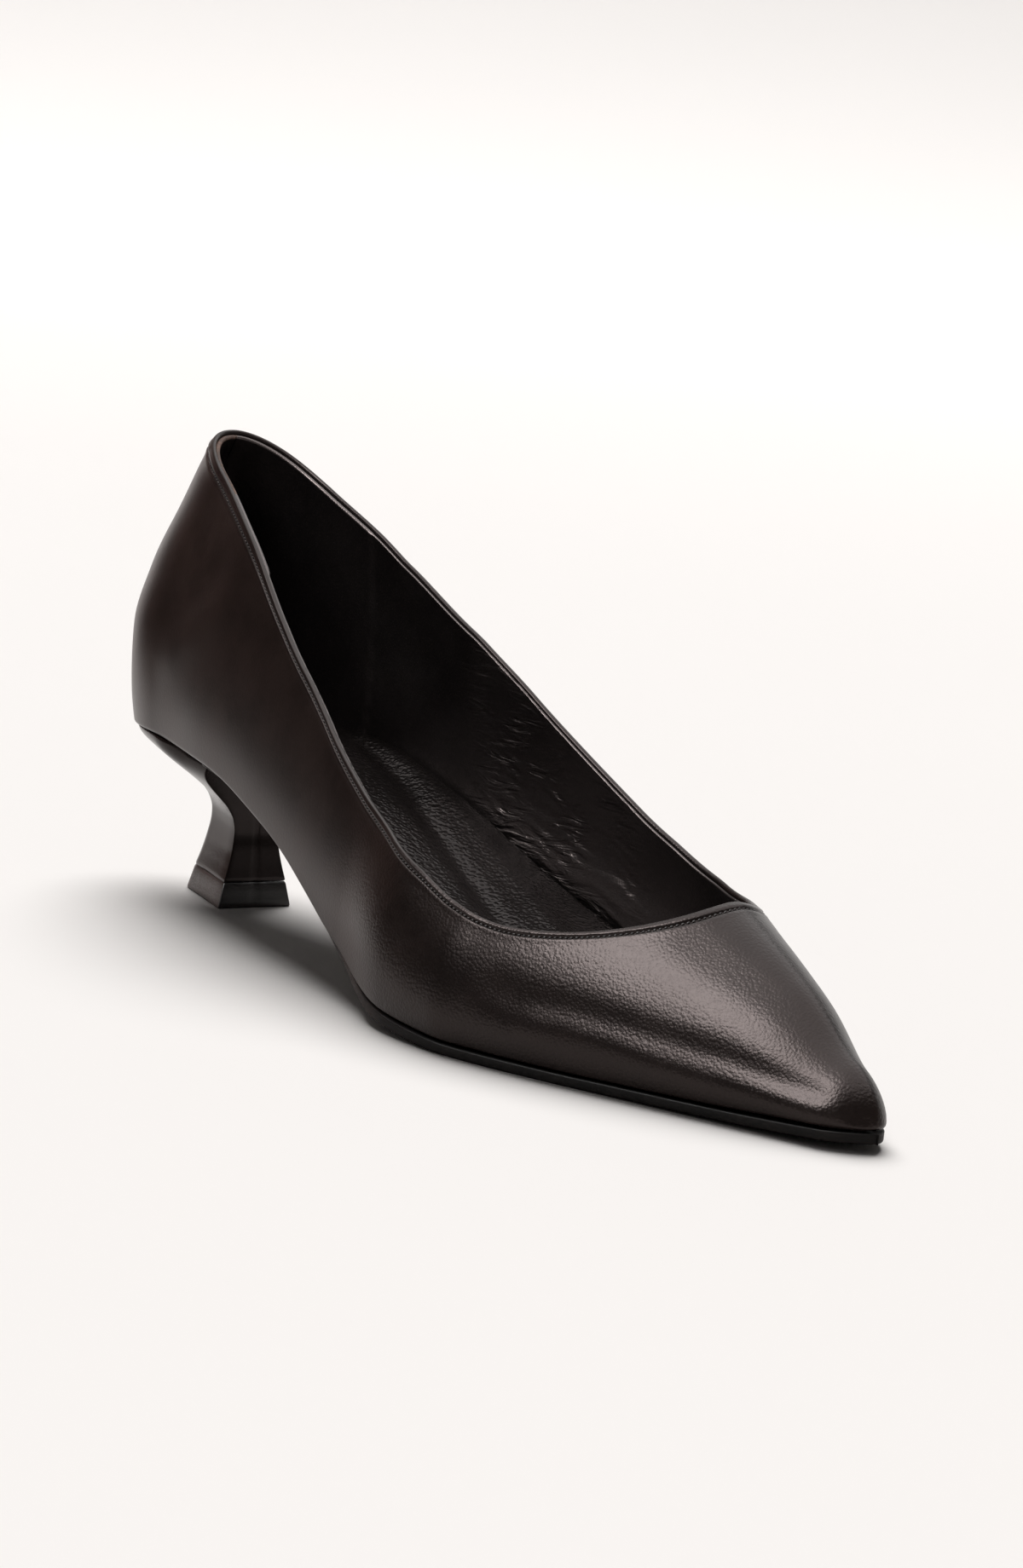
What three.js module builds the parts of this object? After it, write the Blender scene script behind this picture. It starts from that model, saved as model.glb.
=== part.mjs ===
// A women's kitten-heel pump, right shoe, in millimetres. X runs from the heel to the toe, Y to the
// wearer's left, which is the shoe's inner side, and Z up from the floor.
import * as THREE from 'three';
import { mergeVertices } from 'three/addons/utils/BufferGeometryUtils.js';

// The last
const LENGTH = 254;
const BALL_WIDTH = 76;
const INSTEP_HEIGHT = 62;
const SEAT_HEIGHT = 35;
const TOE_HEIGHT = 4;
const BACK_HEIGHT = 64;
const BACK_LEAN = 18.5;
const HEEL_ROUND = 28;
const TOE_ROUND = 8;
const TOE_TURN = -1;
const TUCK = 3.2;

// The collar
const THROAT = 0.815;
const THROAT_START = 0.5;

// Leather, board and rubber
const WALL = 1.8;
const MARGIN = 11;
const BOARD = 1.6;
const SOCK = 2.6;
const SOCK_CLEAR = 1.2;
const SOLE = 2;
const SHANK_SOLE = 1.4;
const SOLE_PROUD = 0.6;
const WAIST_TUCK = 3;
const GAP = 0.3;

// The heel
const TOP_PIECE = 5.5;
const TREAD_LENGTH = 24.4;
const TREAD_WIDTH = 19;
const TREAD_BACK_WIDTH = 6.4;
const TREAD_FRONT = 47;
const BREAST = 50;

// Share of the length; the feather line's rise from tread to seat, or beyond the ball from tread to toe;
// the half-widths of the outer and the inner side, shares of the ball width; the crest's height over
// the feather line, a share of the instep height.
const LAST = [
  { at: 0.00, rise: 0.96, outer: 0.240, inner: 0.240, crest: 1.56 },
  { at: 0.10, rise: 1.00, outer: 0.275, inner: 0.272, crest: 1.53 },
  { at: 0.22, rise: 0.96, outer: 0.350, inner: 0.315, crest: 1.46 },
  { at: 0.35, rise: 0.74, outer: 0.415, inner: 0.345, crest: 1.32 },
  { at: 0.50, rise: 0.26, outer: 0.480, inner: 0.425, crest: 1.13 },
  { at: 0.60, rise: 0.05, outer: 0.545, inner: 0.462, crest: 0.97 },
  { at: 0.66, rise: 0.01, outer: 0.535, inner: 0.475, crest: 0.83 },
  { at: 0.69, rise: 0.00, outer: 0.508, inner: 0.461, crest: 0.773 },
  { at: 0.72, rise: 0.00, outer: 0.475, inner: 0.440, crest: 0.72 },
  { at: 0.76, rise: 0.00, outer: 0.422, inner: 0.387, crest: 0.648 },
  { at: 0.82, rise: 0.10, outer: 0.336, inner: 0.302, crest: 0.537 },
  { at: 0.90, rise: 0.30, outer: 0.222, inner: 0.202, crest: 0.372 },
  { at: 0.97, rise: 0.74, outer: 0.122, inner: 0.096, crest: 0.180 },
  { at: 1.00, rise: 1.00, outer: 0.078, inner: 0.070, crest: 0.135 },
];

// Share of the length; how far up its section from the feather line to the crest the collar lies.
const COLLAR = [
  { at: 0.00, outer: 0.372, inner: 0.372 },
  { at: 0.10, outer: 0.320, inner: 0.296 },
  { at: 0.20, outer: 0.278, inner: 0.259 },
  { at: 0.25, outer: 0.255, inner: 0.242 },
  { at: 0.32, outer: 0.222, inner: 0.237 },
  { at: 0.37, outer: 0.206, inner: 0.241 },
  { at: 0.43, outer: 0.215, inner: 0.267 },
  { at: 0.50, outer: 0.256, inner: 0.318 },
  { at: 0.56, outer: 0.312, inner: 0.360 },
  { at: 0.61, outer: 0.332, inner: 0.380 },
  { at: 0.65, outer: 0.320, inner: 0.381 },
  { at: 0.71, outer: 0.282, inner: 0.370 },
  { at: 0.76, outer: 0.270, inner: 0.372 },
  { at: 0.82, outer: 0.272, inner: 0.375 },
];

// The back seam seen from the side: height over the feather line, a share of the back height, and how
// far it lies towards the toe, a share of the back's lean.
const BACK_CURVE = [
  { up: 0.00, lean: 0.00 },
  { up: 0.12, lean: -0.06 },
  { up: 0.34, lean: -0.11 },
  { up: 0.56, lean: 0.14 },
  { up: 0.78, lean: 0.58 },
  { up: 1.00, lean: 1.00 },
  { up: 1.60, lean: 2.40 },
];

// The heel from its foot (0) to the seat (1): the breast's half-width, a share of the tread's; its back
// and its breast, shares of the tread's length ahead of the tread's front; and how far the section has
// become the seat's outline.
const HEEL = [
  { up: 0.00, width: 0.853, back: -0.920, breast: -0.030, seat: 0.00 },
  { up: 0.12, width: 0.740, back: -0.860, breast: -0.048, seat: 0.00 },
  { up: 0.25, width: 0.645, back: -0.810, breast: -0.066, seat: 0.00 },
  { up: 0.38, width: 0.600, back: -0.770, breast: -0.085, seat: 0.00 },
  { up: 0.47, width: 0.640, back: -0.760, breast: -0.088, seat: 0.02 },
  { up: 0.56, width: 0.800, back: -0.790, breast: -0.080, seat: 0.06 },
  { up: 0.65, width: 1.080, back: -0.890, breast: -0.060, seat: 0.14 },
  { up: 0.74, width: 1.410, back: -1.070, breast: -0.030, seat: 0.28 },
  { up: 0.82, width: 1.740, back: -1.310, breast: 0.010, seat: 0.48 },
  { up: 0.90, width: 2.080, back: -1.600, breast: 0.060, seat: 0.74 },
  { up: 0.96, width: 2.320, back: -1.750, breast: 0.100, seat: 0.93 },
  { up: 1.00, width: 2.460, back: -1.800, breast: 0.115, seat: 1.00 },
];

const OUTER = -1;
const INNER = 1;

const leather = new THREE.MeshStandardMaterial({ color: 0x1d1714, roughness: 0.45, metalness: 0 });
const sockLeather = new THREE.MeshStandardMaterial({ color: 0x181412, roughness: 0.5, metalness: 0 });
const board = new THREE.MeshStandardMaterial({ color: 0x8a7358, roughness: 0.9, metalness: 0 });
const soleLeather = new THREE.MeshStandardMaterial({ color: 0x2a221d, roughness: 0.6, metalness: 0 });
const heelCover = new THREE.MeshStandardMaterial({ color: 0x1a1614, roughness: 0.3, metalness: 0 });
const rubber = new THREE.MeshStandardMaterial({ color: 0x171412, roughness: 0.6, metalness: 0 });

const clamp = THREE.MathUtils.clamp;
const mix = THREE.MathUtils.lerp;
const smooth = THREE.MathUtils.smoothstep;

// A smooth curve through two columns of a table that never overshoots its rows.
function curve(table, from, to) {
  const xs = table.map((row) => row[from]);
  const ys = table.map((row) => row[to]);
  const slopes = xs.slice(1).map((x, i) => (ys[i + 1] - ys[i]) / (x - xs[i]));
  const tangents = xs.map((x, i) => {
    const before = slopes[i - 1] ?? slopes[0];
    const after = slopes[i] ?? slopes[slopes.length - 1];
    return before * after <= 0 ? 0 : (2 * before * after) / (before + after);
  });
  return (x) => {
    const last = xs.length - 2;
    const i = clamp(xs.findIndex((end) => end > x) - 1, 0, last);
    const k = x >= xs[last + 1] ? last : i;
    const step = xs[k + 1] - xs[k];
    const u = clamp((x - xs[k]) / step, 0, 1);
    const v = 1 - u;
    return ys[k] * (1 + 2 * u) * v * v + ys[k + 1] * u * u * (3 - 2 * u)
      + step * (tangents[k] * u * v * v - tangents[k + 1] * u * u * v);
  };
}

const rise = curve(LAST, 'at', 'rise');
const outerWidth = curve(LAST, 'at', 'outer');
const innerWidth = curve(LAST, 'at', 'inner');
const crestHeight = curve(LAST, 'at', 'crest');
const outerCollar = curve(COLLAR, 'at', 'outer');
const innerCollar = curve(COLLAR, 'at', 'inner');
const backCurve = curve(BACK_CURVE, 'up', 'lean');

const TREAD = SOLE + GAP;
const BALL_END = 0.76;

// How far the shoe has turned from its waist (0) into its forefoot (1).
function forefoot(x) {
  return smooth(x / LENGTH, 0.35, 0.65);
}

// Height of the feather line, where the upper turns under.
function feather(x) {
  const at = x / LENGTH;
  const top = at < BALL_END ? SEAT_HEIGHT : TOE_HEIGHT;
  return mix(TREAD, top, rise(at));
}

// The outline's centre line, turned a little at the toe.
function centre(x) {
  return TOE_TURN * clamp((x / LENGTH - 0.6) / 0.4, 0, 1) ** 1.6;
}

// How the round back and the round tip close the outline: 1 between them, 0 at both ends.
function ends(x, inset) {
  const back = clamp((x - inset) / HEEL_ROUND, 0, 1);
  const toe = clamp((LENGTH - inset - x) / TOE_ROUND, 0, 1);
  return Math.sqrt(1 - (1 - back) ** 2) * Math.sqrt(1 - (1 - toe) ** 2);
}

// Half-width of the last on one side, or of a body that lies inset from it.
function halfWidth(x, side, inset) {
  const share = side === OUTER ? outerWidth(x / LENGTH) : innerWidth(x / LENGTH);
  return ends(x, inset) * (BALL_WIDTH * share - inset);
}

// A point of the upper: t runs from the feather line (0) over the wall to the crest (1).
function wallPoint(x, t, side, inset) {
  const front = forefoot(x);
  const tip = clamp((LENGTH - inset - x) / TOE_ROUND, 0, 1);
  const height = (INSTEP_HEIGHT * crestHeight(x / LENGTH) - 2 * inset) * Math.sqrt(1 - (1 - tip) ** 2);
  const width = halfWidth(x, side, inset);
  const tuck = mix(TUCK, 0.3 * TUCK, front) * Math.exp(-18 * t);
  const bow = mix(0.67, 1.12, front);
  const crown = mix(0.51, 0.38, front);
  const lift = mix(0.87, 0.42, front);
  const a = (1 - t) ** 3;
  const b = 3 * t * (1 - t) ** 2;
  const c = 3 * t * t * (1 - t);
  const across = width * (a + b * bow + c * crown) - tuck * ends(x, inset);
  const up = height * (b * lift + c + t ** 3);
  const lean = BACK_LEAN * backCurve(up / BACK_HEIGHT) * Math.exp(-((x / 60) ** 2));
  const forward = lean + tuck * (1 - clamp((x - inset) / HEEL_ROUND, 0, 1)) ** 2;
  return new THREE.Vector3(x + forward, centre(x) + side * across, feather(x) + inset + up);
}

// How far up its section the collar lies at x, closing over the crest at the throat in a squarish bow.
function collar(x, side) {
  const at = x / LENGTH;
  const square = side === OUTER ? 2.6 : 2.55;
  const along = clamp((at - THROAT_START) / (THROAT - THROAT_START), 0, 1);
  const open = (1 - along ** square) ** (1 / square);
  return 1 - (1 - (side === OUTER ? outerCollar(at) : innerCollar(at))) * open;
}

// A line up the upper, from the feather line (u = 0) to the collar (u = 1). s goes from the back seam
// (0) to the tip (1), where the lines fan out over the vamp.
function upperPoint(s, u, side, inset) {
  const spread = (1 - Math.cos(Math.PI * s)) / 2;
  const foot = LENGTH * spread;
  const head = LENGTH * THROAT * spread;
  const fan = smooth(s, 0.7, 1);
  const x = mix(foot, head, u ** (1 + fan));
  const t = u === 0 ? 0 : collar(head, side) * (1 - (1 - u) ** (1 / (1 - fan + 1e-4)));
  return wallPoint(inset + (LENGTH - 2 * inset) * x / LENGTH, t, side, inset);
}

// A closed body from rings of points. A tube has flat ends, and a loop's last ring meets its first.
function skin(rings, loop) {
  const count = rings[0].length;
  const points = rings.flat();
  const index = [];
  const bands = loop ? rings.length : rings.length - 1;
  for (let i = 0; i < bands; i += 1) {
    const here = i * count;
    const there = ((i + 1) % rings.length) * count;
    for (let j = 0; j < count; j += 1) {
      const k = (j + 1) % count;
      index.push(here + j, here + k, there + k, here + j, there + k, there + j);
    }
  }
  if (!loop) {
    [0, rings.length - 1].forEach((i) => {
      const ring = rings[i];
      const middle = ring.reduce((sum, p) => sum.add(p), new THREE.Vector3()).divideScalar(count);
      points.push(middle);
      for (let j = 0; j < count; j += 1) {
        const [from, to] = i === 0 ? [(j + 1) % count, j] : [j, (j + 1) % count];
        index.push(i * count + from, i * count + to, points.length - 1);
      }
    });
  }
  const geometry = new THREE.BufferGeometry().setFromPoints(points);
  geometry.setIndex(index);
  return withoutSlivers(mergeVertices(geometry, 1e-3));
}

// Drops the triangles that have two corners in one place.
function withoutSlivers(geometry) {
  const kept = [];
  for (let i = 0; i < geometry.index.count; i += 3) {
    const corners = [0, 1, 2].map((k) => geometry.index.getX(i + k));
    if (new Set(corners).size === 3) kept.push(...corners);
  }
  geometry.setIndex(kept);
  geometry.computeVertexNormals();
  return geometry;
}

function part(name, geometry, material) {
  const mesh = new THREE.Mesh(geometry, material);
  mesh.name = name;
  return mesh;
}

// Quarters and vamp in one: outer face, folded collar edge, lining and the margin turned under.
function upper() {
  const columns = 40;
  const rows = 12;
  const line = (s, side) => {
    const outer = [];
    const lining = [];
    for (let j = 0; j <= rows; j += 1) {
      outer.push(upperPoint(s, j / rows, side, 0));
      lining.push(upperPoint(s, j / rows, side, WALL));
    }
    const edge = outer[rows].clone().add(lining[rows]).divideScalar(2);
    edge.addScaledVector(outer[rows].clone().sub(outer[rows - 1]).normalize(), 0.3 * WALL);
    const x = MARGIN + (LENGTH - 2 * MARGIN) * (1 - Math.cos(Math.PI * s)) / 2;
    const share = 1 - MARGIN / (BALL_WIDTH / 2);
    const y = centre(x) + side * share * halfWidth(x, side, 0);
    const under = (up) => new THREE.Vector3(x, s === 0 || s === 1 ? centre(x) : y, feather(x) + up);
    return [...outer, edge, ...lining.reverse(), under(WALL), under(0)];
  };
  const rings = [];
  for (let i = 0; i <= columns; i += 1) rings.push(line(i / columns, INNER));
  for (let i = columns - 1; i > 0; i -= 1) rings.push(line(i / columns, OUTER));
  return part('upper', skin(rings, true), leather);
}

// A sheet that lies along the bottom of the last between two stations.
function sheet({ from, to, inset, proud, low, thickness, dome }) {
  const stations = 36;
  const across = 6;
  const rings = [];
  for (let i = 0; i <= stations; i += 1) {
    const share = (1 - Math.cos(Math.PI * (0.04 + 0.92 * i / stations))) / 2;
    const x = mix(from, to, share);
    const edge = (side) => centre(x) + side * (halfWidth(x, side, inset) + proud(x));
    const ring = [];
    for (let j = 0; j <= across; j += 1) {
      const y = mix(edge(OUTER), edge(INNER), j / across);
      ring.push(new THREE.Vector3(x, y, feather(x) + low(x)));
    }
    for (let j = across; j >= 0; j -= 1) {
      const y = mix(edge(OUTER), edge(INNER), j / across);
      const crown = dome * Math.sin(Math.PI * j / across);
      ring.push(new THREE.Vector3(x, y, feather(x) + low(x) + thickness(x) + crown));
    }
    rings.push(ring);
  }
  return skin(rings, false);
}

// The board that the upper is lasted under.
function insole() {
  const inset = WALL + GAP + TUCK;
  const geometry = sheet({
    from: inset, to: LENGTH - inset, inset, proud: () => 0,
    low: () => WALL + GAP, thickness: () => BOARD, dome: 0,
  });
  return part('insole', geometry, board);
}

// The padded sock on the board.
function sock() {
  const inset = WALL + TUCK + SOCK_CLEAR;
  const geometry = sheet({
    from: inset, to: LENGTH - inset, inset, proud: () => 0,
    low: () => WALL + BOARD + 2 * GAP, thickness: () => SOCK, dome: 0.8,
  });
  return part('sock', geometry, sockLeather);
}

// The leather sole from the heel's breast to the tip, skived and drawn in under the waist.
function outsole() {
  const geometry = sheet({
    from: BREAST + GAP, to: LENGTH + SOLE_PROUD, inset: 0,
    proud: (x) => mix(-TUCK - WAIST_TUCK, SOLE_PROUD - 0.3 * TUCK, forefoot(x)) * ends(x, 0),
    low: (x) => -GAP - mix(SHANK_SOLE, SOLE, forefoot(x)),
    thickness: (x) => mix(SHANK_SOLE, SOLE, forefoot(x)), dome: 0,
  });
  return part('outsole', geometry, soleLeather);
}

// One level of the heel: a flat breast, straight flanks and a round back, turning into the seat.
function heelRing(back, breast, halfBreast, seat, height) {
  const steps = 18;
  const ring = [];
  const flank = (side, share) => {
    const x = mix(back, breast, share);
    const round = Math.sqrt(1 - (1 - clamp(share / 0.16, 0, 1)) ** 2);
    const wedge = halfBreast * mix(TREAD_BACK_WIDTH / TREAD_WIDTH, 1, share) * round;
    const oval = Math.sqrt(1 - (1 - clamp((x - back) / HEEL_ROUND, 0, 1)) ** 2);
    const share0 = side === OUTER ? outerWidth(x / LENGTH) : innerWidth(x / LENGTH);
    const rim = (BALL_WIDTH * share0 - TUCK) * oval;
    return new THREE.Vector3(x, side * mix(wedge, rim, seat), height(x));
  };
  for (let i = 0; i <= steps; i += 1) ring.push(flank(INNER, 1 - (i / steps) ** 0.6));
  for (let i = steps - 1; i >= 0; i -= 1) ring.push(flank(OUTER, 1 - (i / steps) ** 0.6));
  return ring;
}

function heel() {
  const foot = TOP_PIECE + GAP;
  const columns = Object.fromEntries(
    ['width', 'back', 'breast', 'seat'].map((name) => [name, curve(HEEL, 'up', name)]),
  );
  const levels = 22;
  const rings = [];
  for (let i = 0; i <= levels; i += 1) {
    const up = i / levels;
    const back = TREAD_FRONT + TREAD_LENGTH * columns.back(up);
    const breast = TREAD_FRONT + TREAD_LENGTH * columns.breast(up);
    const halfBreast = columns.width(up) * TREAD_WIDTH / 2;
    const height = (x) => mix(foot, feather(x) - GAP, up);
    rings.push(heelRing(back, breast, halfBreast, columns.seat(up), height));
  }
  return part('heel', skin(rings, false), heelCover);
}

// The rubber lift, which carries the heel's flare down to the floor.
function topPiece() {
  const { width, back, breast } = HEEL[0];
  const rings = [0, 0.5, 1].map((up) => heelRing(
    TREAD_FRONT + TREAD_LENGTH * mix(-1, back, up),
    TREAD_FRONT + TREAD_LENGTH * mix(0, breast, up),
    TREAD_WIDTH / 2 * mix(1, width, up),
    0,
    () => TOP_PIECE * up,
  ));
  return part('top_piece', skin(rings, false), rubber);
}

const pump = new THREE.Group();
pump.add(upper(), insole(), sock(), outsole(), heel(), topPiece());

// The origin is on the floor under the middle of the shoe.
const box = new THREE.Box3().setFromObject(pump);
const middle = box.getCenter(new THREE.Vector3());
pump.position.set(-middle.x, -middle.y, -box.min.z);

export default pump;
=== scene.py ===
"""A women's kitten-heel pump, right shoe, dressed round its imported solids.

Shapes are worked out on the last in millimetres, with X from heel to toe, Y to the inner side and Z up
from the floor. Last.placed() takes them to the row frame in metres.
"""

import logging
import math
from dataclasses import dataclass, field
from enum import Enum
from typing import Callable, Sequence

import bpy
import numpy as np
from mathutils import Matrix, Vector


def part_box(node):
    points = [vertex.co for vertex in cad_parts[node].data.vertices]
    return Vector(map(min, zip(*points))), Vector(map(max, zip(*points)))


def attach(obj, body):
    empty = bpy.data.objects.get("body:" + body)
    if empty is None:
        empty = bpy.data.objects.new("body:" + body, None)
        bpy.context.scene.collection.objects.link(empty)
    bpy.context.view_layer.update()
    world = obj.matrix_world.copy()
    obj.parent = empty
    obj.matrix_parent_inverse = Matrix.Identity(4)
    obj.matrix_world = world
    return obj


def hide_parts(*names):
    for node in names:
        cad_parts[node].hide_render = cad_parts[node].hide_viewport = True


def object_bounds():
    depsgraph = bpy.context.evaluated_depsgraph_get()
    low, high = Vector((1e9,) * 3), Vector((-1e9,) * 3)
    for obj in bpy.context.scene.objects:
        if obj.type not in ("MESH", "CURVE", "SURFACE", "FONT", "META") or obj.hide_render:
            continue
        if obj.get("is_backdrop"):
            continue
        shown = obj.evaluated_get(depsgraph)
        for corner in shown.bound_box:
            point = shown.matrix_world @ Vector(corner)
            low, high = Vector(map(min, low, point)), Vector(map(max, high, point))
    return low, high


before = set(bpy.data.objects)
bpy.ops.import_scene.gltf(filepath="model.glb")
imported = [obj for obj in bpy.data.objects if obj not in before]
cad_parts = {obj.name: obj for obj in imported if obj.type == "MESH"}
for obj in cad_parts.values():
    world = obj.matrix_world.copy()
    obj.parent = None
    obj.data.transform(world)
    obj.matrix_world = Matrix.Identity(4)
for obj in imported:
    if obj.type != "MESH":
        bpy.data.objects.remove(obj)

log = logging.getLogger("pump")

Colour = tuple[float, float, float]
Place = tuple[float, float, float]
Array = np.ndarray
Piece = bpy.types.Object
Socket = bpy.types.NodeSocket

MERGE = 2e-6
SLIVER = 1e-6
SHELL_ANGLE = 50.0
HEEL_ANGLE = 38.0
RIM_TURNS = (0.35, 0.7, 1.0)
CORNER_SHARES = ((1.0, 0.0), (0.42, 0.07), (0.07, 0.42), (0.0, 1.0))


class Glow(Enum):
    """Which part of a surface's answer a lamp takes part in."""

    FULL = "reflection and body colour"
    GLOSS = "reflection"
    BODY = "body colour"


class Side(Enum):
    """A side of the right shoe. The outer one faces the camera."""

    OUTER = -1
    INNER = 1


# ---------------------------------------------------------------- small tools


def deselect() -> None:
    """Leaves object mode with nothing selected."""
    if bpy.context.object and bpy.context.object.mode != "OBJECT":
        bpy.ops.object.mode_set(mode="OBJECT")
    bpy.ops.object.select_all(action="DESELECT")


def smoothstep(x: Array, low: float, high: float) -> Array:
    """Rises smoothly from 0 at low to 1 at high.

    Args:
        x: The values to read.
        low: Where the rise starts.
        high: Where it ends.

    Returns:
        The rise at each value.
    """
    t = np.clip((x - low) / (high - low), 0, 1)
    return t * t * (3 - 2 * t)


def band(x: Array, start: float, full: float, fall: float, end: float) -> Array:
    """Rises smoothly from 0 to 1 between start and full, and falls back between fall and end."""
    return smoothstep(x, start, full) * (1 - smoothstep(x, fall, end))


def quarter(share: Array) -> Array:
    """Height of a quarter ellipse at a share of its run, from 0 up to 1 where it stays."""
    return np.sqrt(1 - (1 - np.clip(share, 0, 1)) ** 2)


def bell(x: Array, middle: float, width: float) -> Array:
    """A soft bump of height 1.

    Args:
        x: The values to read.
        middle: Where the bump stands.
        width: Its half-width at 0.37 of its height.

    Returns:
        The bump at each value.
    """
    return np.exp(-(((x - middle) / width) ** 2))


def unit(v: Array) -> Array:
    """Vectors scaled to length 1 along the last axis."""
    return v / np.maximum(np.linalg.norm(v, axis=-1, keepdims=True), 1e-9)


def normals_of(points: Array) -> Array:
    """Surface normals of a grid whose first axis closes on itself.

    Args:
        points: Grid of points, columns by rows by 3.

    Returns:
        Unit normals of the same shape, along (column step) x (row step).
    """
    along = np.roll(points, -1, axis=0) - np.roll(points, 1, axis=0)
    down = np.gradient(points, axis=1)
    return unit(np.cross(along, down))


class Curve:
    """A smooth curve through given rows, which never overshoots them."""

    def __init__(self, rows: Sequence[tuple[float, float]]) -> None:
        """Takes the rows as (place, value) pairs in rising order of place."""
        self.xs = np.array([row[0] for row in rows], float)
        self.ys = np.array([row[1] for row in rows], float)
        slopes = np.diff(self.ys) / np.diff(self.xs)
        before = np.concatenate([slopes[:1], slopes])
        after = np.concatenate([slopes, slopes[-1:]])
        total = np.where(before + after == 0, 1, before + after)
        self.tangents = np.where(before * after <= 0, 0, 2 * before * after / total)

    def __call__(self, x: Array) -> Array:
        """The curve's value at each x, held level past both ends."""
        i = np.clip(np.searchsorted(self.xs, x, side="right") - 1, 0, len(self.xs) - 2)
        step = self.xs[i + 1] - self.xs[i]
        u = np.clip((x - self.xs[i]) / step, 0, 1)
        v = 1 - u
        return (
            self.ys[i] * (1 + 2 * u) * v * v
            + self.ys[i + 1] * u * u * (3 - 2 * u)
            + step * (self.tangents[i] * u * v * v - self.tangents[i + 1] * u * u * v)
        )


# ------------------------------------------------------------------- the last


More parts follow.
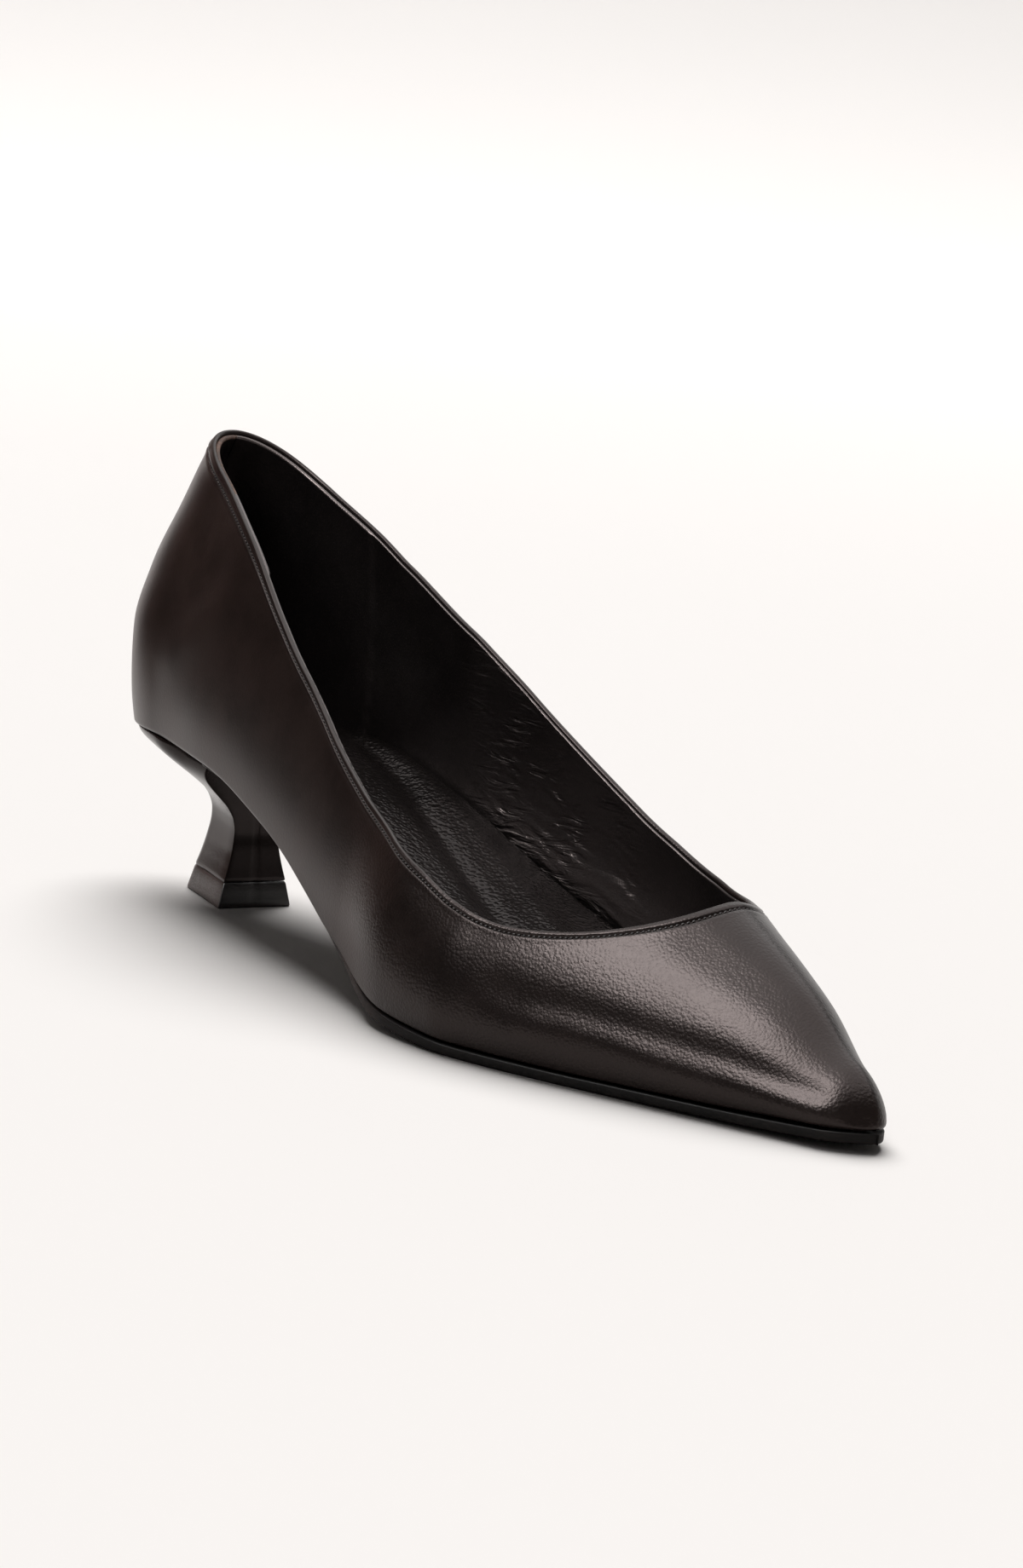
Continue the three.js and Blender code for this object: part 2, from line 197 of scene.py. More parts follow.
@dataclass
class Last:
    """The form that the shoe is made on, in millimetres."""

    length: float = 254.0
    ball_width: float = 76.0
    instep_height: float = 62.0
    seat_height: float = 35.0
    toe_height: float = 4.0
    back_height: float = 64.0
    back_lean: float = 18.5
    heel_round: float = 28.0
    toe_round: float = 8.0
    toe_turn: float = -1.0
    tuck: float = 3.2
    throat: float = 0.815
    throat_start: float = 0.5
    tread: float = 2.3
    ball_end: float = 0.76
    tread_front: float = 47.0

    def __post_init__(self) -> None:
        """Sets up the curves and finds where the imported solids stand."""
        self.rise = Curve([
            (0, .96), (.10, 1), (.22, .96), (.35, .74), (.50, .26), (.60, .05), (.66, .01), (.69, 0),
            (.72, 0), (.76, 0), (.82, .10), (.90, .30), (.97, .74), (1, 1)])
        self.widths = {
            Side.OUTER: Curve([
                (0, .240), (.10, .275), (.22, .350), (.35, .415), (.50, .480), (.60, .545), (.66, .535),
                (.69, .508), (.72, .475), (.76, .422), (.82, .336), (.90, .222), (.97, .122), (1, .078)]),
            Side.INNER: Curve([
                (0, .240), (.10, .272), (.22, .315), (.35, .345), (.50, .425), (.60, .462), (.66, .475),
                (.69, .461), (.72, .440), (.76, .387), (.82, .302), (.90, .202), (.97, .096), (1, .070)]),
        }
        self.crest = Curve([
            (0, 1.56), (.10, 1.53), (.22, 1.46), (.35, 1.32), (.50, 1.13), (.60, .97), (.66, .83),
            (.69, .773), (.72, .72), (.76, .648), (.82, .537), (.90, .372), (.97, .180), (1, .135)])
        self.collars = {
            Side.OUTER: Curve([
                (0, .372), (.10, .320), (.20, .278), (.25, .255), (.32, .222), (.37, .206), (.43, .215),
                (.50, .256), (.56, .312), (.61, .332), (.65, .320), (.71, .282), (.76, .270), (.82, .272)]),
            Side.INNER: Curve([
                (0, .372), (.10, .296), (.20, .259), (.25, .242), (.32, .237), (.37, .241), (.43, .267),
                (.50, .318), (.56, .360), (.61, .380), (.65, .381), (.71, .370), (.76, .372), (.82, .375)]),
        }
        self.squares = {Side.OUTER: 2.6, Side.INNER: 2.55}
        self.back = Curve([(0, 0), (.12, -.06), (.34, -.11), (.56, .14), (.78, .58), (1, 1), (1.6, 2.4)])
        low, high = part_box("top_piece")
        self.shift = np.array([high.x * 1000 - self.tread_front, (low.y + high.y) * 500, 0.0])

    def placed(self, points: Array) -> Array:
        """Points on the last, in millimetres, as points of the row frame in metres."""
        return (points + self.shift) * 0.001

    def forefoot(self, x: Array) -> Array:
        """How far the shoe has turned from its waist (0) into its forefoot (1)."""
        return smoothstep(x / self.length, 0.35, 0.65)

    def feather(self, x: Array) -> Array:
        """Height of the feather line, where the upper turns under."""
        at = x / self.length
        top = np.where(at < self.ball_end, self.seat_height, self.toe_height)
        return self.tread + (top - self.tread) * self.rise(at)

    def centre(self, x: Array) -> Array:
        """The outline's centre line, turned a little at the toe."""
        return self.toe_turn * np.clip((x / self.length - 0.6) / 0.4, 0, 1) ** 1.6

    def ends(self, x: Array, inset: float) -> Array:
        """How the round back and the round tip close the outline, from 1 between them to 0.

        Args:
            x: Places along the last.
            inset: How far the outline lies inside the last's own.

        Returns:
            The share of the width that is left at each place.
        """
        back = np.clip((x - inset) / self.heel_round, 0, 1)
        toe = np.clip((self.length - inset - x) / self.toe_round, 0, 1)
        return np.sqrt(1 - (1 - back) ** 2) * np.sqrt(1 - (1 - toe) ** 2)

    def half_width(self, x: Array, side: Side, inset: float) -> Array:
        """Half-width of the last on one side.

        Args:
            x: Places along the last.
            side: The side to measure on.
            inset: How far inside the last's outline.

        Returns:
            Half-widths in millimetres.
        """
        return self.ends(x, inset) * (self.ball_width * self.widths[side](x / self.length) - inset)

    def wall(self, x: Array, t: Array, side: Side, inset: float) -> Array:
        """Points of the wall.

        Args:
            x: Places along the last.
            t: How far up, from the feather line (0) over the wall to the crest (1).
            side: The side to lie on.
            inset: How far inside the last's surface.

        Returns:
            Points in millimetres.
        """
        front = self.forefoot(x)
        tip = np.clip((self.length - inset - x) / self.toe_round, 0, 1)
        height = (self.instep_height * self.crest(x / self.length) - 2 * inset) * np.sqrt(1 - (1 - tip) ** 2)
        width = self.half_width(x, side, inset)
        tuck = (self.tuck + (0.3 - 1) * self.tuck * front) * np.exp(-18 * t)
        bow, crown, lift = 0.67 + 0.45 * front, 0.51 - 0.13 * front, 0.87 - 0.45 * front
        a, b, c = (1 - t) ** 3, 3 * t * (1 - t) ** 2, 3 * t * t * (1 - t)
        across = width * (a + b * bow + c * crown) - tuck * self.ends(x, inset)
        up = height * (b * lift + c + t**3)
        lean = self.back_lean * self.back(up / self.back_height) * np.exp(-((x / 60) ** 2))
        forward = lean + tuck * (1 - np.clip((x - inset) / self.heel_round, 0, 1)) ** 2
        y = self.centre(x) + side.value * across
        return np.stack([x + forward, y, self.feather(x) + inset + up], axis=-1)

    def collar(self, x: Array, side: Side) -> Array:
        """How far up its section the collar lies, closing over the crest at the throat."""
        at, square = x / self.length, self.squares[side]
        along = np.clip((at - self.throat_start) / (self.throat - self.throat_start), 0, 1)
        opening = (1 - along**square) ** (1 / square)
        return 1 - (1 - self.collars[side](at)) * opening

    def line(self, s: Array, u: Array, side: Side, inset: float = 0.0) -> Array:
        """Points of the lines that run up the upper and fan out over the vamp.

        Args:
            s: Which line, from the back seam (0) to the tip (1).
            u: How far up it, from the feather line (0) to the collar (1).
            side: The side to lie on.
            inset: How far inside the last's surface.

        Returns:
            Points in millimetres.
        """
        spread = (1 - np.cos(np.pi * s)) / 2
        foot, head = self.length * spread, self.length * self.throat * spread
        fan = smoothstep(s, 0.7, 1)
        x = foot + (head - foot) * u ** (1 + fan)
        t = self.collar(head, side) * (1 - (1 - u) ** (1 / (1 - fan + 1e-4)))
        return self.wall(inset + (self.length - 2 * inset) * x / self.length, t, side, inset)

    def columns(self, count: int) -> list[tuple[float, Side]]:
        """The lines all round the shoe, inner side first, each as its s and its side."""
        inner = [(i / count, Side.INNER) for i in range(count + 1)]
        return inner + [(i / count, Side.OUTER) for i in range(count - 1, 0, -1)]

    def laid(self, count: int, rows: Callable[[float], Array]) -> tuple[Array, Array]:
        """A grid over the upper whose rows lie at set distances under the collar.

        Args:
            count: Lines on each side.
            rows: Gives the rows' distances for a line of a given length.

        Returns:
            The points, lines by rows by 3, and the rows' distances under the collar.
        """
        u = 1 - np.linspace(0, 1, 320) ** 1.15
        points, depths = [], []
        for s, side in self.columns(count):
            fine = self.line(np.full_like(u, s), u, side)
            run = np.concatenate([[0], np.cumsum(np.linalg.norm(np.diff(fine, axis=0), axis=1))])
            depth = rows(run[-1])
            at = np.interp(depth, run, u)
            points.append(self.line(np.full_like(at, s), at, side))
            depths.append(depth)
        return np.array(points), np.array(depths)


# -------------------------------------------------------------------- meshing


def lay_grid(name: str, points: Array, smooth_angle: float = 60.0) -> Piece:
    """Adds a primitive grid, lays its vertices on the given places and closes it.

    Args:
        name: The piece's name.
        points: Places in metres, columns by rows by 3. Rows or columns that meet are merged.
        smooth_angle: Edges sharper than this many degrees stay sharp.

    Returns:
        The piece, at the origin.
    """
    deselect()
    wide, deep = points.shape[0] - 1, points.shape[1] - 1
    bpy.ops.mesh.primitive_grid_add(x_subdivisions=wide, y_subdivisions=deep, size=1.0, location=(0, 0, 0))
    piece = bpy.context.object
    piece.name = piece.data.name = name
    flat = np.zeros(len(piece.data.vertices) * 3)
    piece.data.vertices.foreach_get("co", flat)
    flat = flat.reshape(-1, 3)
    i = np.rint((flat[:, 0] + 0.5) * wide).astype(int)
    j = np.rint((flat[:, 1] + 0.5) * deep).astype(int)
    piece.data.vertices.foreach_set("co", points[i, j].astype(np.float32).ravel())
    piece.data.update()
    while piece.data.uv_layers:
        piece.data.uv_layers.remove(piece.data.uv_layers[0])
    bpy.ops.object.mode_set(mode="EDIT")
    bpy.ops.mesh.select_all(action="SELECT")
    bpy.ops.mesh.remove_doubles(threshold=MERGE)
    bpy.ops.mesh.dissolve_degenerate(threshold=SLIVER)
    bpy.ops.mesh.select_all(action="SELECT")
    bpy.ops.mesh.normals_make_consistent(inside=False)
    bpy.ops.object.mode_set(mode="OBJECT")
    bpy.ops.object.shade_smooth_by_angle(angle=math.radians(smooth_angle))
    return piece


def closed(points: Array, round_columns: bool = True, round_rows: bool = True) -> Array:
    """Repeats the first column or row at the end, so that the grid closes on itself."""
    if round_columns:
        points = np.concatenate([points, points[:1]], axis=0)
    if round_rows:
        points = np.concatenate([points, points[:, :1]], axis=1)
    return points


def capped(rings: Array) -> Array:
    """Closes a tube of rings at both ends with a fan to each end ring's middle."""
    first = np.repeat(rings[:1].mean(axis=1, keepdims=True), rings.shape[1], axis=1)
    last = np.repeat(rings[-1:].mean(axis=1, keepdims=True), rings.shape[1], axis=1)
    return np.concatenate([first, rings, last], axis=0)


# ------------------------------------------------------------------- finishes


class Bench:
    """Builds one material's nodes."""

    def __init__(self, name: str) -> None:
        """Starts a material with a bare Principled shader."""
        self.material = bpy.data.materials.new(name)
        self.material.use_nodes = True
        self.tree = self.material.node_tree
        self.shader = self.tree.nodes["Principled BSDF"]

    def add(self, kind: str, settings: dict | None = None, **sockets: object) -> bpy.types.Node:
        """Adds a node.

        Args:
            kind: The node's type.
            settings: Its own settings, such as an operation.
            **sockets: Input values or links, with spaces in names as underscores.

        Returns:
            The node.
        """
        node = self.tree.nodes.new(kind)
        for key, value in (settings or {}).items():
            setattr(node, key, value)
        for key, value in sockets.items():
            self.plug(node, key.replace("_", " "), value)
        return node

    def plug(self, node: bpy.types.Node, socket: str | int, value: object) -> None:
        """Sets an input of a node, or links another node's output to it."""
        if isinstance(value, Socket):
            self.tree.links.new(value, node.inputs[socket])
        else:
            node.inputs[socket].default_value = value

    def place(self) -> Socket:
        """The place on the piece, in metres of the row frame."""
        return self.add("ShaderNodeTexCoord").outputs["Object"]

    def along(self) -> Socket:
        """How far along the shoe the place is, in metres of the row frame."""
        return self.add("ShaderNodeSeparateXYZ", Vector=self.place()).outputs["X"]

    def stretched(self, scale: Place, turn: Place = (0.0, 0.0, 0.0)) -> Socket:
        """The place on the piece, turned and stretched for a directed pattern."""
        return self.add("ShaderNodeMapping", Vector=self.place(), Scale=scale, Rotation=turn).outputs["Vector"]

    def noise(self, size_mm: float, detail: float, vector: Socket | None = None, swirl: float = 0.0) -> Socket:
        """A noise whose lumps are about size_mm across."""
        node = self.add("ShaderNodeTexNoise", Vector=vector or self.place(), Scale=1000 / size_mm,
                        Detail=detail, Distortion=swirl)
        return node.outputs["Fac"]

    def maths(self, operation: str, a: object, b: object = 0.0, c: object = 0.0) -> Socket:
        """One arithmetic step on up to three values."""
        node = self.add("ShaderNodeMath", {"operation": operation})
        for k, value in enumerate((a, b, c)):
            self.plug(node, k, value)
        return node.outputs[0]

    def ranged(
        self, value: Socket, low: float, high: float, to_low: float = 0.0, to_high: float = 1.0
    ) -> Socket:
        """Maps a value smoothly from one range to another."""
        node = self.add("ShaderNodeMapRange", {"interpolation_type": "SMOOTHSTEP"}, Value=value,
                        From_Min=low, From_Max=high, To_Min=to_low, To_Max=to_high)
        return node.outputs["Result"]

    def blend(self, share: Socket, a: Colour, b: Colour) -> Socket:
        """Mixes two colours by a share."""
        node = self.add("ShaderNodeMix", {"data_type": "RGBA"})
        for socket, value in ((0, share), (6, (*a, 1.0)), (7, (*b, 1.0))):
            self.plug(node, socket, value)
        return node.outputs[2]

    def finish(self, **sockets: object) -> bpy.types.Material:
        """Sets or links the shader's inputs, with spaces in names as underscores, and gives the material."""
        for key, value in sockets.items():
            self.plug(self.shader, key.replace("_", " "), value)
        return self.material

    def bump(self, height: Socket, depth_mm: float, below: Socket | None = None) -> Socket:
        """Raises the surface by a height of 0 to 1.

        Args:
            height: The height at each place.
            depth_mm: How much a height of 1 raises it.
            below: The normal of a bump that this one lies on.

        Returns:
            The new normal.
        """
        node = self.add("ShaderNodeBump", Height=height, Distance=depth_mm / 1000, Strength=1.0)
        if below is not None:
            self.plug(node, "Normal", below)
        return node.outputs["Normal"]


@dataclass(frozen=True)
class Leather:
    """A dyed leather with a pebbled grain, worn paler in scattered patches."""

    name: str
    dye: Colour
    worn: Colour
    roughness: float
    spread: float
    cell_mm: float
    relief_mm: float
    fine_mm: float
    specular: float
    index: float = 1.5
    sheen: Colour = (1.0, 0.84, 0.81)
    calm: tuple[float, float] | None = None
    calm_share: float = 1.0
    crease_mm: float = 0.0
    crease_turn: Place = (0.0, 0.34, 0.0)
    crease_stretch: Place = (0.22, 0.6, 1.0)
    crease_span: tuple[float, float] = (-44.0, 22.0)
    stain_mm: float = 14.0
    speck_mm: float = 1.7

    def grain(self, bench: Bench) -> Socket:
        """The pebbles: irregular cells with rounded tops and fine creases between them."""
        drift = bench.add(
            "ShaderNodeTexNoise", Vector=bench.place(), Scale=1000 / (self.cell_mm * 1.6), Detail=1.0)
        moved = bench.add("ShaderNodeVectorMath", {"operation": "MULTIPLY_ADD"})
        drift_size = (self.cell_mm * 0.0007,) * 3
        for socket, value in enumerate((drift.outputs["Color"], drift_size, bench.place())):
            bench.plug(moved, socket, value)
        cells = bench.add("ShaderNodeTexVoronoi", {"feature": "SMOOTH_F1"}, Vector=moved.outputs[0],
                          Scale=1000 / self.cell_mm, Smoothness=0.3)
        dome = bench.maths("MULTIPLY_ADD", cells.outputs["Distance"], -1.3, 1.0)
        return bench.maths("MULTIPLY_ADD", bench.noise(self.cell_mm * 0.45, 2.0), 0.3, dome)

    def creases(self, bench: Bench, below: Socket) -> Socket:
        """Long, fine wrinkles that run a little downhill to the toe, where the foot bends the leather.

        Args:
            bench: The material's bench.
            below: The grain's normal.

        Returns:
            The new normal.
        """
        folds = bench.noise(2.3, 3.0, bench.stretched(self.crease_stretch, self.crease_turn), 0.7)
        ridges = bench.maths("ABSOLUTE", bench.maths("SUBTRACT", folds, 0.5))
        low, high = self.crease_span
        middle, reach = 0.5 * (low + high), 0.5 * (high - low)
        off = bench.maths("ABSOLUTE", bench.maths("SUBTRACT", bench.along(), middle / 1000))
        share = bench.ranged(off, 0.35 * reach / 1000, reach / 1000, 1.0, 0.0)
        patchy = bench.ranged(bench.noise(11.0, 2.0), 0.35, 0.6, 0.15, 1.0)
        height = bench.maths("MULTIPLY", bench.maths("MULTIPLY", ridges, share), patchy)
        return bench.bump(bench.maths("MULTIPLY", height, -3.0), self.crease_mm, below)

    def build(self) -> bpy.types.Material:
        """Makes the material."""
        bench = Bench(self.name)
        specks, stains = bench.noise(self.speck_mm, 4.0), bench.noise(self.stain_mm, 3.0)
        patch = bench.maths("MULTIPLY_ADD", specks, 0.4, stains)
        height = self.grain(bench)
        if self.calm:
            low, high = self.calm
            share = bench.ranged(bench.along(), low / 1000, high / 1000, self.calm_share)
            height = bench.maths("MULTIPLY", height, share)
        normal = bench.bump(height, self.relief_mm)
        if self.crease_mm:
            normal = self.creases(bench, normal)
        return bench.finish(
            Base_Color=bench.blend(bench.ranged(patch, 0.45, 0.95), self.dye, self.worn),
            Roughness=bench.maths("MULTIPLY_ADD", patch, self.spread, self.roughness - 0.7 * self.spread),
            Specular_IOR_Level=self.specular,
            Specular_Tint=(*self.sheen, 1.0),
            IOR=self.index,
            Normal=bench.bump(bench.noise(self.cell_mm * 0.28, 1.0), self.fine_mm, normal),
        )


@dataclass(frozen=True)
class CutLeather:
    """A raw or stained leather edge with short fibres."""

    name: str
    dark: Colour
    light: Colour
    roughness: float
    fibre_mm: float
    relief_mm: float
    specular: float = 0.5

    def build(self) -> bpy.types.Material:
        """Makes the material."""
        bench = Bench(self.name)
        fibres = bench.noise(self.fibre_mm, 5.0, bench.stretched((0.35, 0.35, 1.0)))
        share = bench.maths("MULTIPLY", fibres, bench.noise(9.0, 3.0))
        return bench.finish(
            Base_Color=bench.blend(bench.ranged(share, 0.15, 0.4), self.dark, self.light),
            Roughness=bench.ranged(fibres, 0.2, 0.8, self.roughness - 0.12, self.roughness + 0.12),
            Specular_IOR_Level=self.specular,
            Normal=bench.bump(fibres, self.relief_mm),
        )


@dataclass(frozen=True)
class Thread:
    """A waxed, twisted sewing thread."""

    name: str
    dye: Colour
    light: Colour

    def build(self) -> bpy.types.Material:
        """Makes the material."""
        bench = Bench(self.name)
        strands = bench.noise(0.25, 2.0)
        return bench.finish(
            Base_Color=bench.blend(bench.ranged(strands, 0.3, 0.7), self.dye, self.light),
            Roughness=bench.ranged(strands, 0.3, 0.7, 0.38, 0.6),
            Normal=bench.bump(strands, 0.03),
        )


@dataclass(frozen=True)
class Sweep:
    """The pale matt floor and backdrop."""

    name: str
    tint: Colour

    def build(self) -> bpy.types.Material:
        """Makes the material."""
        bench = Bench(self.name)
        deep = tuple(0.985 * c for c in self.tint)
        return bench.finish(
            Base_Color=bench.blend(bench.noise(400.0, 2.0), deep, self.tint),
            Roughness=0.9,
            Specular_IOR_Level=0.1,
        )


NAPPA = Leather(
    "upper_nappa", dye=(0.0082, 0.0054, 0.0047), worn=(0.0132, 0.0087, 0.0075), roughness=0.32, spread=0.10,
    cell_mm=0.58, relief_mm=0.040, fine_mm=0.004, specular=0.46, index=1.38, calm=(-15.0, 35.0),
    calm_share=0.20)
# The lining's near-black dye is partly its own colour and partly painted shade for the inside of the shoe.
LINING = Leather(
    "lining_leather_with_painted_shade", dye=(0.0022, 0.0016, 0.0015), worn=(0.0046, 0.0034, 0.0032), roughness=0.37, spread=0.12,
    cell_mm=0.50, relief_mm=0.024, fine_mm=0.003, specular=0.95, crease_mm=0.58)
SOCK = Leather(
    "sock_leather", dye=(0.0036, 0.0027, 0.0025), worn=(0.0066, 0.0050, 0.0047), roughness=0.26, spread=0.08,
    cell_mm=0.95, relief_mm=0.150, fine_mm=0.004, specular=0.21)
HEEL_COVER = Leather(
    "heel_cover_leather", dye=(0.0080, 0.0056, 0.0050), worn=(0.0120, 0.0086, 0.0077), roughness=0.20, spread=0.06,
    cell_mm=0.5, relief_mm=0.004, fine_mm=0.002, specular=0.19)
SOLE_EDGE = CutLeather(
    "sole_leather", dark=(0.0050, 0.0036, 0.0032), light=(0.014, 0.0100, 0.0088), roughness=0.55, fibre_mm=0.5,
    relief_mm=0.04, specular=0.16)
RAW_EDGE = CutLeather(
    "raw_leather_edge", dark=(0.045, 0.023, 0.016), light=(0.17, 0.095, 0.066), roughness=0.75, fibre_mm=0.4,
    relief_mm=0.06)
RUBBER = CutLeather(
    "heel_rubber", dark=(0.011, 0.0080, 0.0072), light=(0.020, 0.0150, 0.0136), roughness=0.38, fibre_mm=0.3,
    relief_mm=0.02)
BOARD = CutLeather(
    "insole_board", dark=(0.14, 0.095, 0.06), light=(0.25, 0.18, 0.12), roughness=0.85, fibre_mm=0.6,
    relief_mm=0.04)
THREAD = Thread("collar_thread", dye=(0.016, 0.011, 0.0098), light=(0.036, 0.026, 0.0235))
SWEEP = Sweep("pale_sweep", (0.90, 0.868, 0.845))
CARD = Sweep("black_card_paper", (0.004, 0.004, 0.004))


def dress(piece: Piece, *materials: bpy.types.Material) -> None:
    """Gives a new piece its material slots in order."""
    piece.data.materials.clear()
    for material in materials:
        piece.data.materials.append(material)


def settle(piece: Piece, slot: str, *nodes: str) -> Piece:
    """Ties a finished piece to the frame.

    Args:
        piece: The piece, at the origin.
        slot: Not used.
        *nodes: The solids that it stands for.

    Returns:
        The piece.
    """
    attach(piece, "root")
    if nodes:
        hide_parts(*nodes)
    log.info("%s: %d faces", piece.name, len(piece.data.polygons))
    return piece


# ----------------------------------------------------------------- the pieces


@dataclass(frozen=True)
class Stroke:
    """A low ridge or trough along a line, which fades out at both ends."""

    path: tuple[Place, ...]
    height: float
    width: float
    end_width: float
    fade: float = 6.0

    def at(self, points: Array) -> Array:
        """Height of the stroke at each point.

        Args:
            points: Places on the last in millimetres.

        Returns:
            Heights in millimetres, positive for a ridge.
        """
        path = np.array(self.path)
        steps = np.linalg.norm(np.diff(path, axis=0), axis=1)
        run = np.concatenate([[0], np.cumsum(steps)])
        nearest = np.full(points.shape[:-1], np.inf)
        along = np.zeros(points.shape[:-1])
        for a, b, start, step in zip(path, path[1:], run, steps):
            share = np.clip((points - a) @ (b - a) / step**2, 0, 1)
            gap = np.linalg.norm(points - a - share[..., None] * (b - a), axis=-1)
            along = np.where(gap < nearest, start + share * step, along)
            nearest = np.minimum(nearest, gap)
        width = self.width + (self.end_width - self.width) * along / run[-1]
        ends = smoothstep(along, -0.01, self.fade) * smoothstep(run[-1] - along, -0.01, self.fade)
        return self.height * ends * bell(nearest, 0.0, width)


VAMP_STROKES = (
    Stroke(((176, -38, 16), (186, -34, 14.5), (206, -26, 14), (228, -16, 12), (239, -12, 10.5), (250, -7, 9)),
           -0.42, 3.8, 1.8),
    Stroke(((186, -35, 9), (197, -30, 11), (208, -26, 9.5), (218, -22, 8), (230, -17, 7.5), (241, -12, 7),
            (251, -7, 6.5)), 0.26, 3.6, 1.8),
    Stroke(((203, -13, 32), (217, -10, 27), (227, -7, 24), (237, -4, 19), (246, -1, 15)), -0.22, 4.6, 3.0),
    Stroke(((200, 6, 35), (214, 6, 30), (228, 5, 24), (240, 3, 17)), 0.10, 6.0, 4.0),
    Stroke(((249, -6, 7), (253, -4, 6), (256, -2, 5)), -0.30, 1.6, 1.6, 2.0),
)
QUARTER_STROKES = (
    Stroke(((70, -22, 77), (48, -22, 61), (26, -18, 49)), 0.32, 5.0, 6.0, 12.0),
    Stroke(((60, -21, 82), (38, -20, 66), (20, -15, 56)), -0.22, 4.5, 5.0, 12.0),
    Stroke(((150, -38, 22), (172, -42, 12), (190, -38, 7)), -0.20, 6.0, 6.0, 12.0),
    Stroke(((23, -8, 98.5), (27, -9.5, 98.5), (30, -11, 97.5)), 0.40, 1.5, 1.5, 1.6),
)
LINING_STROKES = (
    Stroke(((94, 23, 35), (104, 24.5, 32), (114, 26, 31)), 0.12, 1.2, 1.0, 4.0),
    Stroke(((98, 23, 31), (108, 25, 28), (120, 27, 25)), 0.13, 1.1, 1.1, 4.0),
    Stroke(((102, 24, 27), (114, 26, 23), (126, 28, 19)), 0.14, 1.2, 1.2, 4.0),
    Stroke(((105, 24, 22), (117, 26, 19), (130, 29, 15)), 0.14, 1.2, 1.3, 4.0),
    Stroke(((119, 26, 38), (121, 27, 31), (122, 28, 24)), 0.14, 1.0, 1.0, 3.0),
    Stroke(((127, 28, 31), (130, 29, 25), (134, 30, 19)), 0.14, 1.0, 1.0, 3.0),
    Stroke(((117, 27, 22), (122, 28, 17), (128, 29, 12)), 0.14, 1.0, 1.1, 3.0),
    Stroke(((133, 30, 24), (135, 31, 20), (138, 31, 15)), 0.16, 1.0, 1.0, 2.5),
    Stroke(((64, 20, 53), (67, 20.5, 47), (70, 21, 42)), 0.22, 0.9, 1.0, 3.0),
)


